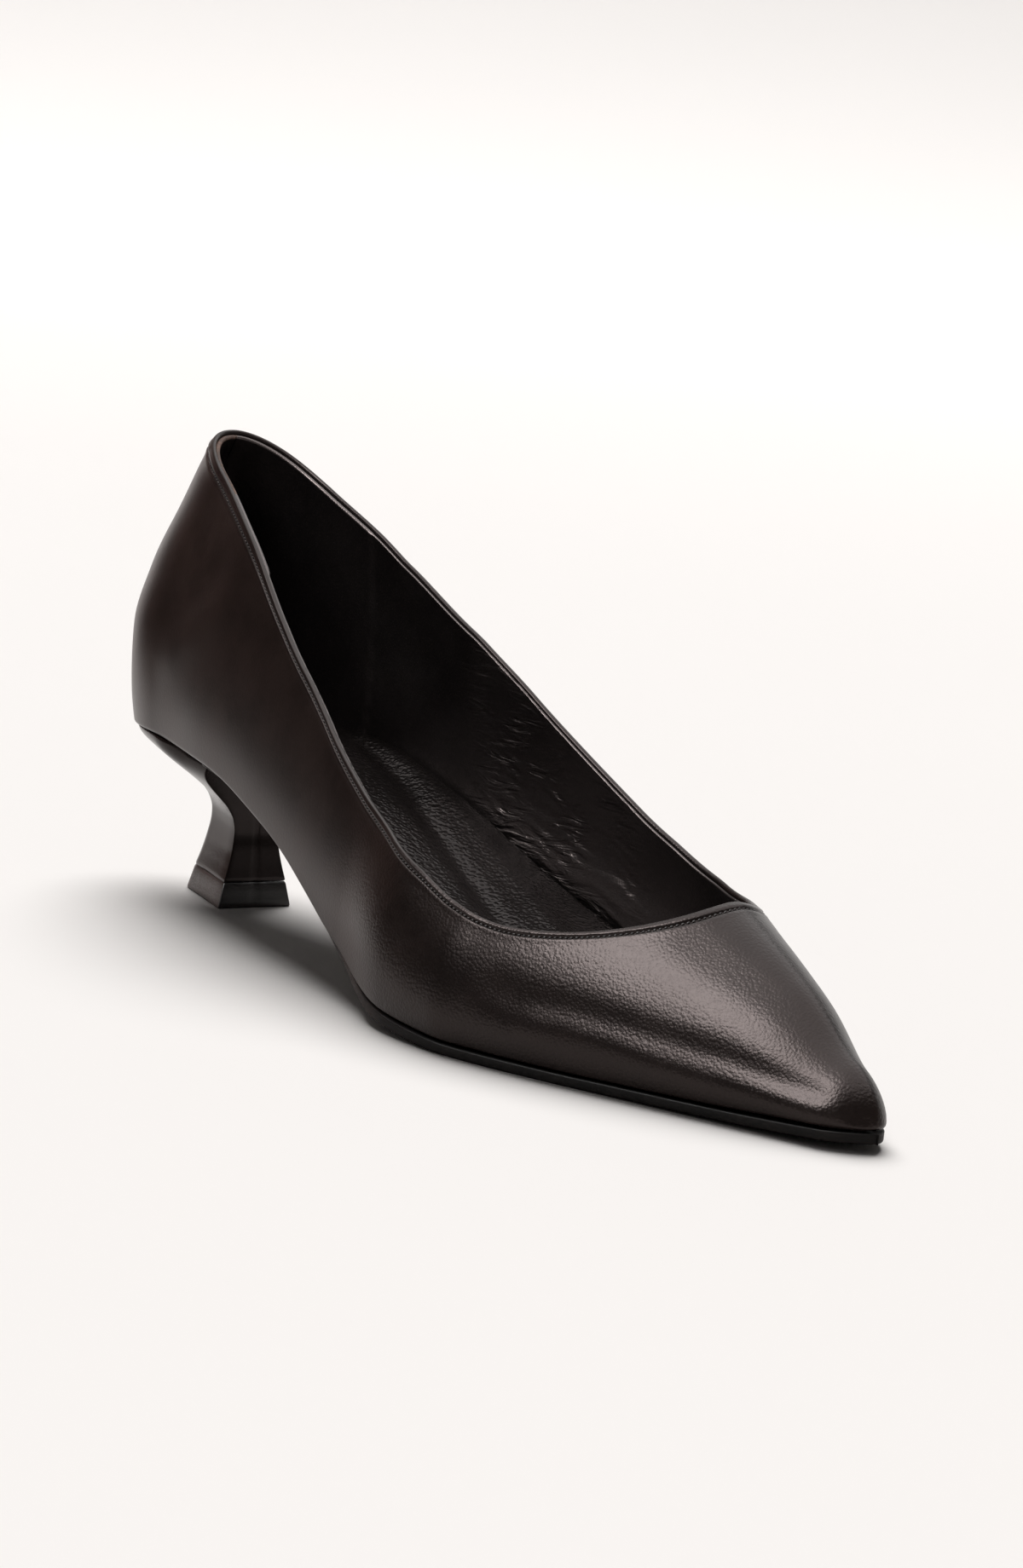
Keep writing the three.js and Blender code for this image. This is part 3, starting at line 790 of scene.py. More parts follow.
@dataclass
class Upper:
    """Quarters and vamp with the folded collar, the lining behind them and the stitch row.

    All sizes are millimetres. Heights stand on the last's surface, depths are distances under the collar.
    """

    last: Last
    lines: int = 260
    lining_lines: int = 300
    skin: float = 1.1
    lining_back: float = 1.15
    grip_back: dict[Side, float] = field(default_factory=lambda: {Side.OUTER: 70.0, Side.INNER: 54.0})
    grip_step: float = 0.45
    raw_until: dict[Side, float] = field(default_factory=lambda: {Side.OUTER: 47.0, Side.INNER: 9.0})
    wall: float = 1.8
    fold: float = 0.55
    fold_steps: int = 9
    cut_steps: int = 7
    cut_round: float = 0.9
    raw_reach: float = 0.6
    edge_drop: float = 0.5
    seam_depth: float = 1.75
    seam_width: float = 0.36
    seam_sink: float = 0.34
    feather_round: float = 1.1
    margin: float = 11.0
    fold_swell: float = 0.12
    seam_swell: float = 0.07
    ripple: float = 0.035
    crease: float = 0.075
    crease_pitch: float = 3.1
    crease_area: tuple[float, float, float, float] = (88.0, 104.0, 134.0, 152.0)
    fullness: float = 1.1
    fullness_height: tuple[float, float, float, float] = (3.0, 8.0, 11.0, 19.0)
    waver: float = 0.05
    stitch: float = 0.80
    pitch: float = 1.08
    thread: float = 0.2
    thread_proud: float = 0.16
    thread_lean: float = 0.32

    def outer_rows(self, length: float) -> Array:
        """Distances under the collar, closest round the stitch groove and at the feather line."""
        near = np.array([0, .2, .45, .75, 1.05, 1.3, 1.5, 1.65, 1.8, 1.95, 2.15, 2.4, 2.75, 3.2, 3.8, 4.6])
        low = length - np.array([1.6, 1.2, .85, .55, .3, .12, 0])
        return np.concatenate([near, np.linspace(4.6, length - 1.6, 46)[1:-1], low])

    def inner_rows(self, length: float) -> Array:
        """Distances under the collar on the hidden face between leather and lining."""
        return np.concatenate([[0, .6, 1.4, 2.6, 4.5], np.linspace(4.5, length - 0.6, 9)[1:]])

    def face_rows(self, length: float) -> Array:
        """Distances under the collar on the lining's face."""
        near = [self.edge_drop, .62, .85, 1.2, 1.8, 2.6]
        return np.concatenate([near, np.linspace(2.6, length - 0.8, 66)[1:]])

    def behind_rows(self, length: float) -> Array:
        """Distances under the collar on the lining's hidden back."""
        return np.concatenate([[self.edge_drop, 2.0], np.linspace(4, length - 0.8, 7)])

    def relief(self, points: Array, depths: Array) -> Array:
        """How far the leather stands out from the last.

        Args:
            points: Places on the last.
            depths: Their distances under the collar.

        Returns:
            Heights in millimetres.
        """
        height = -self.seam_sink * bell(depths, self.seam_depth, self.seam_width)
        height += self.fold_swell * bell(depths, 0.75, 0.5)
        height += self.seam_swell * bell(depths, 2.8, 0.7)
        for stroke in VAMP_STROKES + QUARTER_STROKES:
            height += stroke.at(points) * (1 - 0.7 * bell(depths, 0.0, 1.2))
        x, y, z = points[..., 0], points[..., 1], points[..., 2]
        ripple = np.sin(x / 4.1 + y / 5.3) * np.sin(z / 3.7 - x / 9.1 + 1.3)
        ripple += 0.6 * np.sin(x / 7.9 - z / 6.1 + 0.7)
        return height + self.ripple * ripple * smoothstep(depths, 3.0, 8.0)

    def rounded_foot(self, depths: Array) -> Array:
        """How far the leather draws in where it turns under the last."""
        left = depths[:, -1:] - depths
        return self.feather_round * (1 - quarter(left / self.feather_round))

    def quarters(self) -> Piece:
        """Builds the outer leather with its folded collar and its turned-in margin."""
        last = self.last
        points, depths = last.laid(self.lines, self.outer_rows)
        outward = self.outward(points)
        face = points + outward * (self.relief(points, depths) - self.rounded_foot(depths))[..., None]
        back, _ = last.laid(self.lines, self.inner_rows)
        back = back - self.outward(back) * self.skin
        top, in_ = points[:, 0], -outward[:, 0]
        up = unit(points[:, 0] - points[:, 2])
        turns = [math.pi * (1 - k / self.fold_steps) for k in range(1, self.fold_steps)]
        bend = [self.fold * (in_ * (1 - math.cos(a)) + up * math.sin(a)) for a in turns]
        fold = np.stack([top + way for way in bend], axis=1)
        under = self.margin_rows(back[:, -1])
        ring = np.concatenate([face, under, back[:, ::-1], fold], axis=1)
        piece = lay_grid("quarters_and_vamp", last.placed(closed(ring)), SHELL_ANGLE)
        dress(piece, NAPPA.build())
        return piece

    def margin_rows(self, inside: Array) -> Array:
        """The leather turned under the last, out to the margin's cut end and back.

        Args:
            inside: The hidden face's last row.

        Returns:
            Three points to each line.
        """
        last = self.last
        rows = []
        for (s, side), high in zip(last.columns(self.lines), inside):
            x = np.array(self.margin + (last.length - 2 * self.margin) * (1 - math.cos(math.pi * s)) / 2)
            share = 1 - self.margin / (last.ball_width / 2)
            y = last.centre(x) + side.value * share * last.half_width(x, side, 0)
            z = float(last.feather(x))
            end = np.array([x, y, z + self.skin])
            rows.append([[x, y, z + 0.05], end, 0.5 * (end + high)])
        return np.array(rows, float)

    def outward(self, points: Array) -> Array:
        """Normals of a grid on the last, pointing away from it."""
        normal = normals_of(points)
        middle = points.mean(axis=(0, 1))
        sign = np.sign(np.sum(normal[:, :4] * (points[:, :4] - middle), axis=-1).sum())
        return normal * sign

    def lining(self) -> Piece:
        """Builds the lining with its own cut edge a little under the fold."""
        last = self.last
        points, depths = last.laid(self.lining_lines, self.face_rows)
        outward = self.outward(points)
        face = points - outward * (self.wall + self.wrinkles(points, depths))[..., None]
        back, _ = last.laid(self.lining_lines, self.behind_rows)
        back = back - self.outward(back) * self.lining_back
        top = 0.5 * (face[:, 0] + back[:, 0])
        half = 0.5 * (face[:, 0] - back[:, 0])
        up = unit(points[:, 0] - points[:, 3]) * np.linalg.norm(half, axis=-1, keepdims=True) * self.cut_round
        turns = [math.pi * k / self.cut_steps for k in range(1, self.cut_steps)]
        edge = np.stack([top - half * math.cos(a) + up * math.sin(a) for a in turns], axis=1)
        ring = np.concatenate([face, back[:, ::-1], edge], axis=1)
        piece = lay_grid("lining", last.placed(closed(ring)), SHELL_ANGLE)
        dress(piece, LINING.build(), RAW_EDGE.build())
        self.bare(piece, last.placed(edge[:, 2:5].mean(axis=1)))
        return piece

    def bare(self, piece: Piece, line: Array) -> None:
        """Leaves the lining's cut edge raw round the back.

        Args:
            piece: The lining.
            line: Places along its cut edge, in metres.
        """
        inner = line[:, 1] > self.last.shift[1] * 0.001
        until = np.where(inner, self.raw_until[Side.INNER], self.raw_until[Side.OUTER]) + self.last.shift[0]
        line = line[line[:, 0] < until * 0.001]
        for face in piece.data.polygons:
            if np.linalg.norm(line - np.array(face.center[:]), axis=1).min() < self.raw_reach / 1000:
                face.material_index = 1

    def wrinkles(self, points: Array, depths: Array) -> Array:
        """How far the lining stands in from the wall.

        Args:
            points: Places on the last.
            depths: Their distances under the collar.

        Returns:
            Heights in millimetres, larger where it stands further in.
        """
        x, y, z = points[..., 0], points[..., 1], points[..., 2]
        height = np.zeros_like(depths)
        for stroke in LINING_STROKES:
            height += stroke.at(points)
        far = (y > 0) * band(x, *self.crease_area) * smoothstep(depths, 12, 24)
        slant = z + 0.3 * x + 0.8 * np.sin(x / 3.1) + 0.6 * np.sin(x / 1.9 + z / 2.7)
        patches = 1 + np.sin(x / 2.9 + z / 4.3) * np.sin(z / 2.2 - x / 6.1)
        height += self.crease * far * np.sin(2 * np.pi * slant / self.crease_pitch) * patches
        over_floor = z - self.last.feather(x)
        loose = (y > 0) * bell(x, 136, 22) * smoothstep(depths, 22, 34)
        height += self.fullness * loose * band(over_floor, *self.fullness_height)
        for side, stop in self.grip_back.items():
            height += self.grip_step * (y * side.value > 0) * (1 - smoothstep(x, stop - 0.5, stop + 0.5))
        waver = np.sin(x / 6.3 + 0.4) * np.sin(z / 5.1 + x / 8.7)
        return height + self.waver * waver * smoothstep(depths, 2, 6)

    def stitches(self) -> Piece:
        """Sews the row along the collar: one stitch, copied at its pitch all round."""
        last = self.last
        beside = np.array([self.seam_depth - 0.1, self.seam_depth, self.seam_depth + 0.1])
        points, _ = last.laid(self.lines * 2, lambda length: beside)
        path, out = (np.concatenate([g[:, 1], g[:1, 1]]) for g in (points, self.outward(points)))
        run = np.concatenate([[0], np.cumsum(np.linalg.norm(np.diff(path, axis=0), axis=1))])
        count = int(run[-1] / self.pitch)
        stops = (np.arange(count) + 0.5) * run[-1] / count

        def read(places: Array, values: Array) -> Array:
            """Reads values along the seam, which closes on itself."""
            return np.stack([np.interp(places, run, values[:, k], period=run[-1]) for k in range(3)], axis=1)

        at, normal = read(stops, path), unit(read(stops, out))
        along = unit(read(stops + 0.3, path) - at)
        lean = unit(along + self.thread_lean * unit(np.cross(normal, along)))
        side = unit(np.cross(normal, lean))
        deselect()
        bpy.ops.mesh.primitive_uv_sphere_add(segments=7, ring_count=6, radius=1.0, location=(0, 0, 0))
        pattern = bpy.context.object
        base = np.array([v.co[:] for v in pattern.data.vertices])
        faces = [list(p.vertices) for p in pattern.data.polygons]
        bpy.data.objects.remove(pattern)
        thick = self.thread * (1 - 0.35 * base[:, 2] ** 2)
        where = (at + normal * (self.thread_proud - self.seam_sink))[:, None]
        sizes = (base[:, 0] * thick, base[:, 1] * thick * 1.1, base[:, 2] * self.stitch / 2)
        for size, way in zip(sizes, (normal, side, lean)):
            where = where + size[None, :, None] * way[:, None]
        joined = bpy.data.meshes.new("collar_stitches")
        joined.from_pydata(
            last.placed(where.reshape(-1, 3)).tolist(), [],
            [[i + len(base) * k for i in f] for k in range(count) for f in faces],
        )
        piece = bpy.data.objects.new("collar_stitches", joined)
        bpy.context.scene.collection.objects.link(piece)
        deselect()
        piece.select_set(True)
        bpy.context.view_layer.objects.active = piece
        bpy.ops.object.mode_set(mode="EDIT")
        bpy.ops.mesh.select_all(action="SELECT")
        bpy.ops.mesh.normals_make_consistent(inside=False)
        bpy.ops.object.mode_set(mode="OBJECT")
        bpy.ops.object.shade_smooth()
        dress(piece, THREAD.build())
        return piece

    def build(self) -> None:
        """Makes the upper's pieces and ties them to the frame."""
        settle(self.quarters(), "upper_leather", "upper")
        settle(self.lining(), "upper_leather")
        settle(self.stitches(), "upper_leather")


@dataclass
class Bottom:
    """What lies under the foot: the padded sock, the board and the leather sole."""

    last: Last
    wall: float = 1.8
    board: float = 1.6
    gap: float = 0.3
    pad: float = 2.6
    pad_clear: float = 1.2
    crown: float = 0.8
    sole: float = 2.0
    shank_sole: float = 1.4
    proud: float = 0.6
    waist_tuck: float = 3.0
    breast: float = 50.0
    edge: float = 0.3
    channel_depth: float = 1.3
    channel_width: float = 2.6
    roll_height: float = 1.0
    roll_width: float = 3.0
    unevenness: float = 0.10
    pressed_span: tuple[float, float, float, float] = (52.0, 74.0, 150.0, 186.0)
    pad_out: float = 0.9
    pad_edge: float = 1.2
    pad_stations: int = 200
    pad_across: int = 84
    sole_stations: int = 190
    sole_across: int = 18

    def __post_init__(self) -> None:
        """Lays out the sock's channel and its roll, as shares across the pad."""
        self.channel = Curve([(60, .86), (80, .80), (92, .72), (105, .66), (117, .62), (133, .57), (165, .52)])
        self.roll = Curve([(60, .97), (80, .93), (92, .90), (107, .85), (120, .81), (134, .76), (165, .70)])

    def sheet(
        self,
        stations: Array,
        edge: Callable[[Array, Side], Array],
        bottom: Callable[[Array], Array],
        top: Callable[[Array, Array], Array],
        across: int,
        corner: float,
    ) -> Array:
        """A flat body with rounded edges, as rings across it.

        Args:
            stations: Places along the last.
            edge: Y of the body's edge on a side.
            bottom: Height of its underside.
            top: Height of its upper face at a place and a share across.
            across: Steps across each face.
            corner: Radius of the edges.

        Returns:
            Rings, stations by points by 3.
        """
        share = np.linspace(0, 1, across + 1)
        left, right = edge(stations, Side.OUTER), edge(stations, Side.INNER)
        wide = (right - left)[:, None]
        r = np.minimum(corner, 0.25 * wide)
        y = left[:, None] + r + (wide - 2 * r) * share[None]
        x = np.repeat(stations[:, None], across + 1, axis=1)
        low = np.repeat(bottom(stations)[:, None], across + 1, axis=1)
        high = top(x, np.repeat(share[None], len(stations), axis=0))
        under = np.stack([x, y, low], axis=-1)
        over = np.stack([x, y, high], axis=-1)

        def rim(y_edge: Array, inward: float, k: int) -> Array:
            """The rounded edge from the underside up to the upper face."""
            lo, hi = low[:, k], high[:, k]
            rise = np.minimum(r[:, 0], 0.45 * (hi - lo))
            places = []
            for face, way, turns in ((lo, 1, RIM_TURNS), (hi, -1, RIM_TURNS[::-1])):
                for a in (turn * math.pi / 2 for turn in turns):
                    y_at = y_edge + inward * r[:, 0] * (1 - math.sin(a))
                    places.append(np.stack([stations, y_at, face + way * rise * (1 - math.cos(a))], axis=-1))
            return np.stack(places, axis=1)

        return np.concatenate([under, rim(right, -1, -1), over[:, ::-1], rim(left, 1, 0)[:, ::-1]], axis=1)

    def outsole(self) -> Piece:
        """Builds the leather sole from the heel's breast to the tip."""
        last = self.last
        start, stop = self.breast + self.gap, last.length + self.proud
        share = (1 - np.cos(np.pi * np.linspace(0.04, 1, self.sole_stations))) / 2
        x = start + (stop - start) * (share - share[0]) / (1 - share[0])

        def edge(at: Array, side: Side) -> Array:
            """Y of the sole's edge."""
            front = last.forefoot(at)
            out = (-last.tuck - self.waist_tuck) * (1 - front) + (self.proud - 0.3 * last.tuck) * front
            inner = np.minimum(at, last.length - 1e-3)
            wide = last.half_width(inner, side, 0) + out * last.ends(inner, 0)
            return last.centre(at) + side.value * wide * np.where(at >= stop - 1e-6, 0, 1)

        def bottom(at: Array) -> Array:
            """Height of the underside."""
            return last.feather(at) - self.gap - self.thick(at)

        def top(at: Array, across: Array) -> Array:
            """Height of the face that is glued to the upper."""
            return last.feather(at) - self.gap

        rings = self.sheet(x, edge, bottom, top, self.sole_across, self.edge)
        start_line = rings[:1].copy()
        start_line[..., 2] = last.feather(x[:1]) - self.gap - 0.5 * self.thick(x[:1])
        rings = np.concatenate([start_line, rings], axis=0)
        piece = lay_grid("outsole_leather", last.placed(closed(rings, False, True)), SHELL_ANGLE)
        dress(piece, SOLE_EDGE.build())
        return piece

    def thick(self, x: Array) -> Array:
        """Thickness of the sole, skived towards the heel."""
        front = self.last.forefoot(x)
        return self.shank_sole * (1 - front) + self.sole * front

    def sock(self) -> Piece:
        """Builds the padded sock, a crowned pad that fills the floor between the lining's walls."""
        last = self.last
        inset = self.wall + last.tuck + self.pad_clear
        start, stop = inset, last.length - inset
        share = (1 - np.cos(np.pi * np.linspace(0, 1, self.pad_stations))) / 2
        x = start + (stop - start) * share

        def edge(at: Array, side: Side) -> Array:
            """Y of the pad's edge, drawn out to the lining in the forefoot."""
            out = self.pad_out + (last.tuck * 0.7 - 0.2) * last.forefoot(at)
            wide = last.half_width(at, side, inset) + out * last.ends(at, inset)
            return last.centre(at) + side.value * wide

        def bottom(at: Array) -> Array:
            """Height of the underside."""
            return last.feather(at) + self.wall + self.board + 2 * self.gap

        def top(at: Array, across: Array) -> Array:
            """Height of the crowned face, with the pressed channel and the roll along its inner edge."""
            there = band(at, *self.pressed_span)
            wide = 2 * last.half_width(at, Side.INNER, inset) + 1e-3
            channel = bell((across - self.channel(at)) * wide, 0.0, self.channel_width)
            roll = bell((across - self.roll(at)) * wide, 0.0, self.roll_width)
            crown = self.crown * np.sin(np.pi * across) ** 0.7
            soft = self.unevenness * np.sin(at / 9.0 + 4 * across) * np.sin(np.pi * across)
            pressed = self.roll_height * roll - self.channel_depth * channel
            return bottom(at) + self.pad + crown + soft + there * pressed

        rings = self.sheet(x, edge, bottom, top, self.pad_across, self.pad_edge)
        piece = lay_grid("padded_sock", last.placed(closed(rings, False, True)))
        dress(piece, SOCK.build())
        return piece

    def build(self) -> None:
        """Makes the pieces and ties them to the frame."""
        sock = settle(self.sock(), "sock_leather", "sock")
        settle(self.outsole(), "sole_leather", "outsole")
        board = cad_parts["insole"]
        finish = BOARD.build()
        if not board.material_slots:
            board.data.materials.append(finish)
        for slot in board.material_slots:
            slot.material = finish
        log.info("insole keeps its solid")


@dataclass
class Heel:
    """The leather-covered spool heel and the rubber lift under it."""

    last: Last
    lift: float = 5.5
    gap: float = 0.3
    tread_length: float = 24.4
    tread_width: float = 19.0
    tread_back: float = 6.4
    corner: float = 0.45
    bevel: float = 0.3
    seat_bevel: float = 0.35
    draw_in: float = 0.28
    draw_from: float = 0.55
    crowding: float = 0.6
    back_round: float = 0.16
    seam_depth: float = 0.22
    seam_width: float = 0.4
    steps: int = 34

    def __post_init__(self) -> None:
        """Sets up the heel's curves, from its foot (0) to the seat (1)."""
        self.width = Curve([
            (0, .853), (.12, .74), (.25, .645), (.38, .60), (.47, .64), (.56, .80), (.65, 1.08),
            (.74, 1.41), (.82, 1.74), (.90, 2.08), (.96, 2.32), (1, 2.46)])
        self.back = Curve([
            (0, -.92), (.12, -.86), (.25, -.81), (.38, -.77), (.47, -.76), (.56, -.79), (.65, -.89),
            (.74, -1.07), (.82, -1.31), (.90, -1.60), (.96, -1.75), (1, -1.80)])
        self.breast = Curve([
            (0, -.03), (.12, -.048), (.25, -.066), (.38, -.085), (.47, -.088), (.56, -.08), (.65, -.06),
            (.74, -.03), (.82, .01), (.90, .06), (.96, .10), (1, .115)])
        self.seat = Curve([
            (0, 0), (.12, 0), (.25, 0), (.38, 0), (.47, .02), (.56, .06), (.65, .14), (.74, .28),
            (.82, .48), (.90, .74), (.96, .93), (1, 1)])

    def ring(
        self,
        back: float,
        breast: float,
        half: float,
        seat: float,
        height: Callable[[Array], Array],
        shrink: float,
    ) -> Array:
        """One level of the heel.

        Args:
            back: X of its back.
            breast: X of its flat front.
            half: Half-width of that front.
            seat: How far the section has become the seat's outline.
            height: Height at each x.
            shrink: How far the section is drawn in, for a bevelled edge.

        Returns:
            The level's points in order round it.
        """
        last = self.last
        share = 1 - (np.arange(self.steps + 1) / self.steps) ** self.crowding

        def flank(side: Side) -> Array:
            """One side from the breast round to the back."""
            x = back + (breast - back) * share
            taper = self.tread_back / self.tread_width
            wedge = half * (taper + (1 - taper) * share) * quarter(share / self.back_round)
            rim = last.ball_width * last.widths[side](x / last.length) - last.tuck
            rim = rim * quarter((x - back) / last.heel_round)
            rim = rim * (1 - self.draw_in * smoothstep(share, self.draw_from, 1.0))
            return np.stack([x, side.value * (wedge + (rim - wedge) * seat)], axis=-1)

        inner, outer = flank(Side.INNER), flank(Side.OUTER)[-2::-1]
        corners = []
        for tip, before, after in ((outer[-1], outer[-2], inner[0]), (inner[0], outer[-1], inner[1])):
            a, b = unit(before - tip), unit(after - tip)
            corners.append([tip + self.corner * (p * a + q * b) for p, q in CORNER_SHARES])
        near, far = np.array(corners[0]), np.array(corners[1])
        share_y = np.linspace(0, 1, 15)[1:-1]
        breast_line = near[-1] + (far[0] - near[-1]) * share_y[:, None]
        breast_line[:, 0] -= self.seam_depth * bell(breast_line[:, 1], 0.0, self.seam_width)
        flat = np.concatenate([inner[2:], outer[:-2], near, breast_line, far], axis=0)
        if shrink:
            middle = flat.mean(axis=0)
            flat = flat + unit(middle - flat) * shrink
        return np.column_stack([flat, height(flat[:, 0])])

    def cover(self) -> Piece:
        """Builds the covered heel with its cupped flange."""
        last = self.last
        foot = self.lift + self.gap * 0.5
        levels = np.concatenate([[0.0, 0.008], np.linspace(0.02, 0.985, 64), [0.994, 1.0]])
        rings = []
        for up in levels:
            shrink = self.bevel * (1 - quarter(up / 0.02)) + self.seat_bevel * (1 - quarter((1 - up) / 0.015))
            rings.append(self.ring(
                last.tread_front + self.tread_length * float(self.back(up)),
                last.tread_front + self.tread_length * float(self.breast(up)),
                float(self.width(up)) * self.tread_width / 2,
                float(self.seat(up)),
                lambda x, up=up: foot + (last.feather(x) - self.gap * 0.4 - foot) * up,
                shrink,
            ))
        piece = lay_grid("heel_cover", last.placed(closed(capped(np.array(rings)), False, True)), HEEL_ANGLE)
        dress(piece, HEEL_COVER.build())
        return piece

    def top_piece(self) -> Piece:
        """Builds the rubber lift, which carries the flare down to the floor."""
        last = self.last
        rings = []
        for up, shrink in ((0, .35), (.03, .12), (.07, 0), (.3, 0), (.6, 0), (.9, 0), (.96, .1), (1, .28)):
            rings.append(self.ring(
                last.tread_front + self.tread_length * (-1 + (float(self.back(0)) + 1) * up),
                last.tread_front + self.tread_length * float(self.breast(0)) * up,
                self.tread_width / 2 * (1 + (float(self.width(0)) - 1) * up),
                0.0,
                lambda x, up=up: np.full_like(x, self.lift * up),
                shrink,
            ))
        piece = lay_grid("heel_lift", last.placed(closed(capped(np.array(rings)), False, True)), HEEL_ANGLE)
        dress(piece, RUBBER.build())
        return piece

    def build(self) -> None:
        """Makes the pieces and ties them to the frame."""
        settle(self.cover(), "heel_cover", "heel")
        settle(self.top_piece(), "heel_rubber", "top_piece")


# ----------------------------------------------------------------- the studio


@dataclass(frozen=True)
class SoftBox:
    """One soft box: its name, middle, width and height, power in watts, aim, colour and what it lights."""

    name: str
    place: Place
    size: tuple[float, float]
    power: float
    aim: Place
    tint: Colour = (1.0, 1.0, 1.0)
    glow: Glow = Glow.FULL
    on_sweep: bool = False


SOFT_BOXES = (
    SoftBox("key_box", (0.01, -0.62, 0.81), (0.6, 0.5), 15.0, aim=(0.08, -0.01, 0.02), glow=Glow.GLOSS),
    SoftBox("overhead_box", (-0.06, 0.49, 1.25), (1.9, 1.9), 25.0, aim=(-0.06, 0.49, 0.0)),
    SoftBox("warm_box", (-0.86, 0.0, 0.30), (0.4, 0.4), 40.0, aim=(-0.10, 0.0, 0.07),
            tint=(1.0, 0.82, 0.79), glow=Glow.BODY),
    SoftBox("back_box", (-0.75, 1.45, 0.62), (2.2, 0.9), 3.4, aim=(0.0, 0.0, 0.03), glow=Glow.GLOSS),
    SoftBox("backdrop_box", (-2.4, 1.85, 2.6), (2.4, 2.4), 18.0, aim=(-3.6, 2.75, 0.3), on_sweep=True),
)


@dataclass
class Studio:
    """The pale sweep, the soft lights and the camera at the photograph's angle.

    The camera's angles are degrees off the toe and up. Its distance and target are millimetres on the
    last. Everything else is metres of the row frame.
    """

    last: Last
    azimuth: float = 37.5
    elevation: float = 9.37
    roll: float = 6.14
    distance: float = 911.65
    focal_px: float = 5252.33
    frame_px: float = 1840.0
    sensor: float = 36.0
    target: Place = (123.4, 7.77, 42.41)
    floor_size: float = 14.0
    floor_ahead: float = 1.1
    wall_height: float = 3.6
    bend: float = 3.0
    bend_steps: int = 36
    sun_azimuth: float = -12.0
    sun_elevation: float = 58.0
    sun_angle: float = 44.0
    sun_strength: float = 3.65
    air: Colour = (1.0, 0.985, 0.975)
    air_strength: float = 0.06
    card_size: tuple[float, float] = (0.98, 0.3)
    card_place: Place = (0.11, -0.26, 0.151)
    sweep: Piece | None = None

    def camera(self) -> None:
        """Stands the camera where it stood for the photograph."""
        az, el, roll = (math.radians(a) for a in (self.azimuth, self.elevation, self.roll))
        back = Vector((math.cos(az) * math.cos(el), -math.sin(az) * math.cos(el), math.sin(el)))
        right = (-back).cross(Vector((0, 0, 1))).normalized()
        up = right.cross(-back)
        across = math.cos(roll) * right + math.sin(roll) * up
        above = -math.sin(roll) * right + math.cos(roll) * up
        aim = Vector(self.last.placed(np.array(self.target)))
        deselect()
        bpy.ops.object.camera_add(location=(0, 0, 0))
        camera = bpy.context.object
        camera.name = "photo_camera"
        turned = Matrix((across, above, back)).transposed().to_4x4()
        camera.matrix_world = Matrix.Translation(aim + back * self.distance / 1000) @ turned
        camera.data.sensor_width = self.sensor
        camera.data.lens = self.focal_px / self.frame_px * self.sensor
        camera.data.clip_start, camera.data.clip_end = 0.05, 50.0
        bpy.context.scene.camera = camera

    def floor(self) -> None:
        """Lays the floor and bends it up into a backdrop behind the shoe."""
        deselect()
        bpy.ops.mesh.primitive_plane_add(size=self.floor_size, location=(0, 0, 0))
        sweep = bpy.context.object
        sweep.name = sweep.data.name = "floor_sweep"

        def edit_rear_edge() -> None:
            """Selects the floor's rear edge for the next step of editing."""
            bpy.ops.object.mode_set(mode="OBJECT")
            for edge in sweep.data.edges:
                ends = [sweep.data.vertices[k].co for k in edge.vertices]
                edge.select = all(co.x < 0.1 - self.floor_size / 2 and co.z < 0.1 for co in ends)
            bpy.ops.object.mode_set(mode="EDIT")

        bpy.ops.object.mode_set(mode="EDIT")
        bpy.ops.mesh.select_mode(type="EDGE")
        bpy.ops.mesh.select_all(action="DESELECT")
        edit_rear_edge()
        bpy.ops.mesh.extrude_region_move(TRANSFORM_OT_translate={"value": (0, 0, self.wall_height)})
        edit_rear_edge()
        bpy.ops.mesh.bevel(offset=self.bend, segments=self.bend_steps, affect="EDGES")
        bpy.ops.mesh.select_all(action="SELECT")
        bpy.ops.mesh.normals_make_consistent(inside=False)
        bpy.ops.object.mode_set(mode="OBJECT")
        bpy.ops.object.shade_smooth()
        sweep.data.transform(Matrix.Translation((self.floor_ahead, 0, 0)))
        sweep.data.transform(Matrix.Rotation(math.radians(-self.azimuth), 4, "Z"))
        dress(sweep, SWEEP.build())
        sweep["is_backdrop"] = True
        self.sweep = sweep

    def sweep_rule(self, name: str, state: str) -> bpy.types.Collection:
        """A collection for light linking that names the sweep.

        Args:
            name: The collection's name.
            state: INCLUDE for the sweep alone, EXCLUDE for everything but the sweep.

        Returns:
            The collection.
        """
        rule = bpy.data.collections.new(name)
        rule.objects.link(self.sweep)
        rule.collection_objects[0].light_linking.link_state = state
        return rule

    def sun(self) -> None:
        """Lights the sweep from behind, so that the shoe's shadow falls towards the camera."""
        az, el = math.radians(self.sun_azimuth), math.radians(self.sun_elevation)
        turn = math.radians(self.azimuth)
        away = Vector((-math.cos(turn), math.sin(turn), 0))
        right = Vector((math.sin(turn), math.cos(turn), 0))
        towards = (math.cos(az) * away + math.sin(az) * right) * math.cos(el) + Vector((0, 0, math.sin(el)))
        deselect()
        bpy.ops.object.light_add(type="SUN", location=towards * 2)
        lamp = bpy.context.object
        lamp.name = "floor_light"
        lamp.data.energy = self.sun_strength
        lamp.data.angle = math.radians(self.sun_angle)
        lamp.rotation_euler = (-towards).to_track_quat("-Z", "Y").to_euler()
        lamp.light_linking.receiver_collection = self.sweep_rule("floor_light_lights", "INCLUDE")
        lamp.light_linking.blocker_collection = self.sweep_rule("no_sweep_shadow", "EXCLUDE")

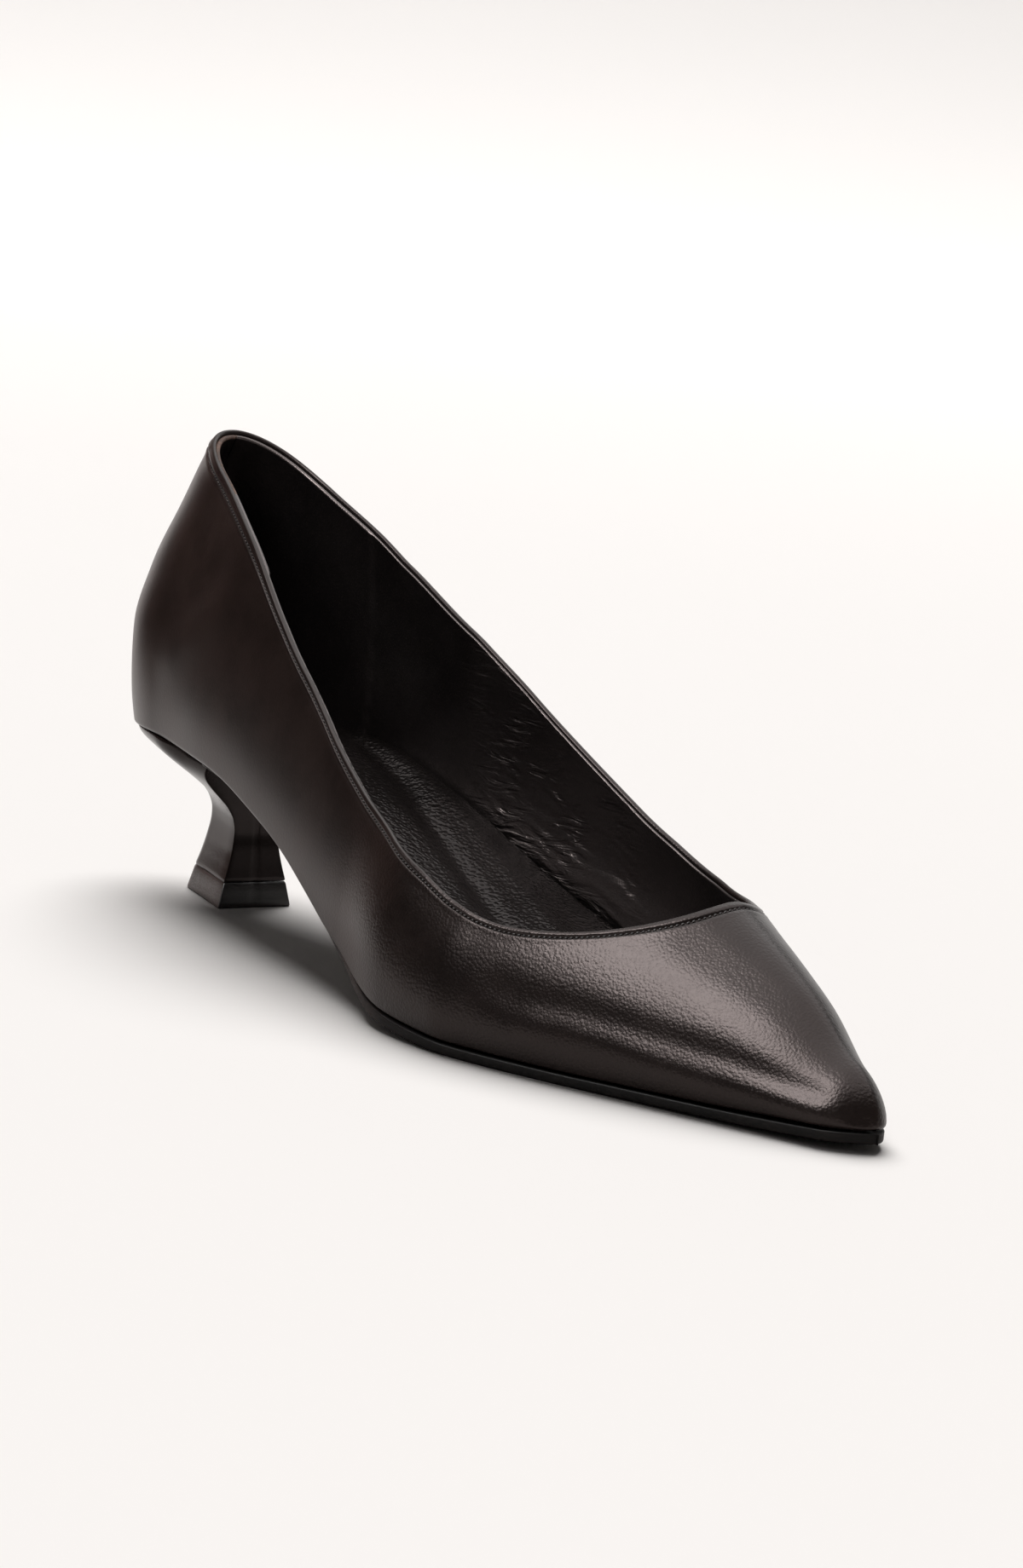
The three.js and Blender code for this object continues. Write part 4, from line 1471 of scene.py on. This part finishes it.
    def light(self, box: SoftBox) -> None:
        """Hangs one soft box."""
        deselect()
        bpy.ops.object.light_add(type="AREA", location=box.place)
        lamp = bpy.context.object
        lamp.name = box.name
        lamp.data.shape = "RECTANGLE"
        lamp.data.size, lamp.data.size_y = box.size
        lamp.data.energy = box.power
        lamp.data.color = box.tint
        lamp.rotation_euler = (Vector(box.aim) - Vector(box.place)).to_track_quat("-Z", "Y").to_euler()
        if not box.on_sweep:
            lamp.light_linking.receiver_collection = self.sweep_rule(box.name + "_lights", "EXCLUDE")
        lamp.visible_diffuse = box.glow is not Glow.GLOSS
        lamp.visible_glossy = box.glow is not Glow.BODY

    def flag(self) -> None:
        """Stands a black card beside the shoe, outside the view, which only the gloss sees."""
        deselect()
        bpy.ops.mesh.primitive_plane_add(size=1.0, location=(0, 0, 0))
        card = bpy.context.object
        card.name = card.data.name = "black_card"
        card.data.transform(Matrix.Diagonal((*self.card_size, 1.0, 1.0)))
        card.data.transform(Matrix.Rotation(math.radians(90), 4, "X"))
        card.data.transform(Matrix.Translation(self.card_place))
        card.data.transform(Matrix.Rotation(math.radians(-self.azimuth), 4, "Z"))
        dress(card, CARD.build())
        card.visible_camera = card.visible_diffuse = card.visible_shadow = False
        card.visible_transmission = card.visible_volume_scatter = False
        card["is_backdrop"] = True

    def build(self) -> None:
        """Sets the stage."""
        self.camera()
        self.floor()
        for box in SOFT_BOXES:
            self.light(box)
        self.sun()
        self.flag()
        world = bpy.data.worlds.new("studio_air")
        world.use_nodes = True
        air = world.node_tree.nodes["Background"]
        air.inputs["Color"].default_value = (*self.air, 1)
        air.inputs["Strength"].default_value = self.air_strength
        bpy.context.scene.world = world
        bpy.context.scene.view_settings.view_transform = "Standard"


def main() -> None:
    """Builds the pump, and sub-assembly by sub-assembly."""
    logging.basicConfig(level=logging.INFO, format="%(message)s")
    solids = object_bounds()
    last = Last()
    for part in (Upper(last), Bottom(last), Heel(last), Studio(last)):
        part.build()
    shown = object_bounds()
    spans = ([round(v * 1000, 2) for v in box[1] - box[0]] for box in (solids, shown))
    log.info("solids %s, shown %s", *spans)


if __name__ == "__main__":
    main()
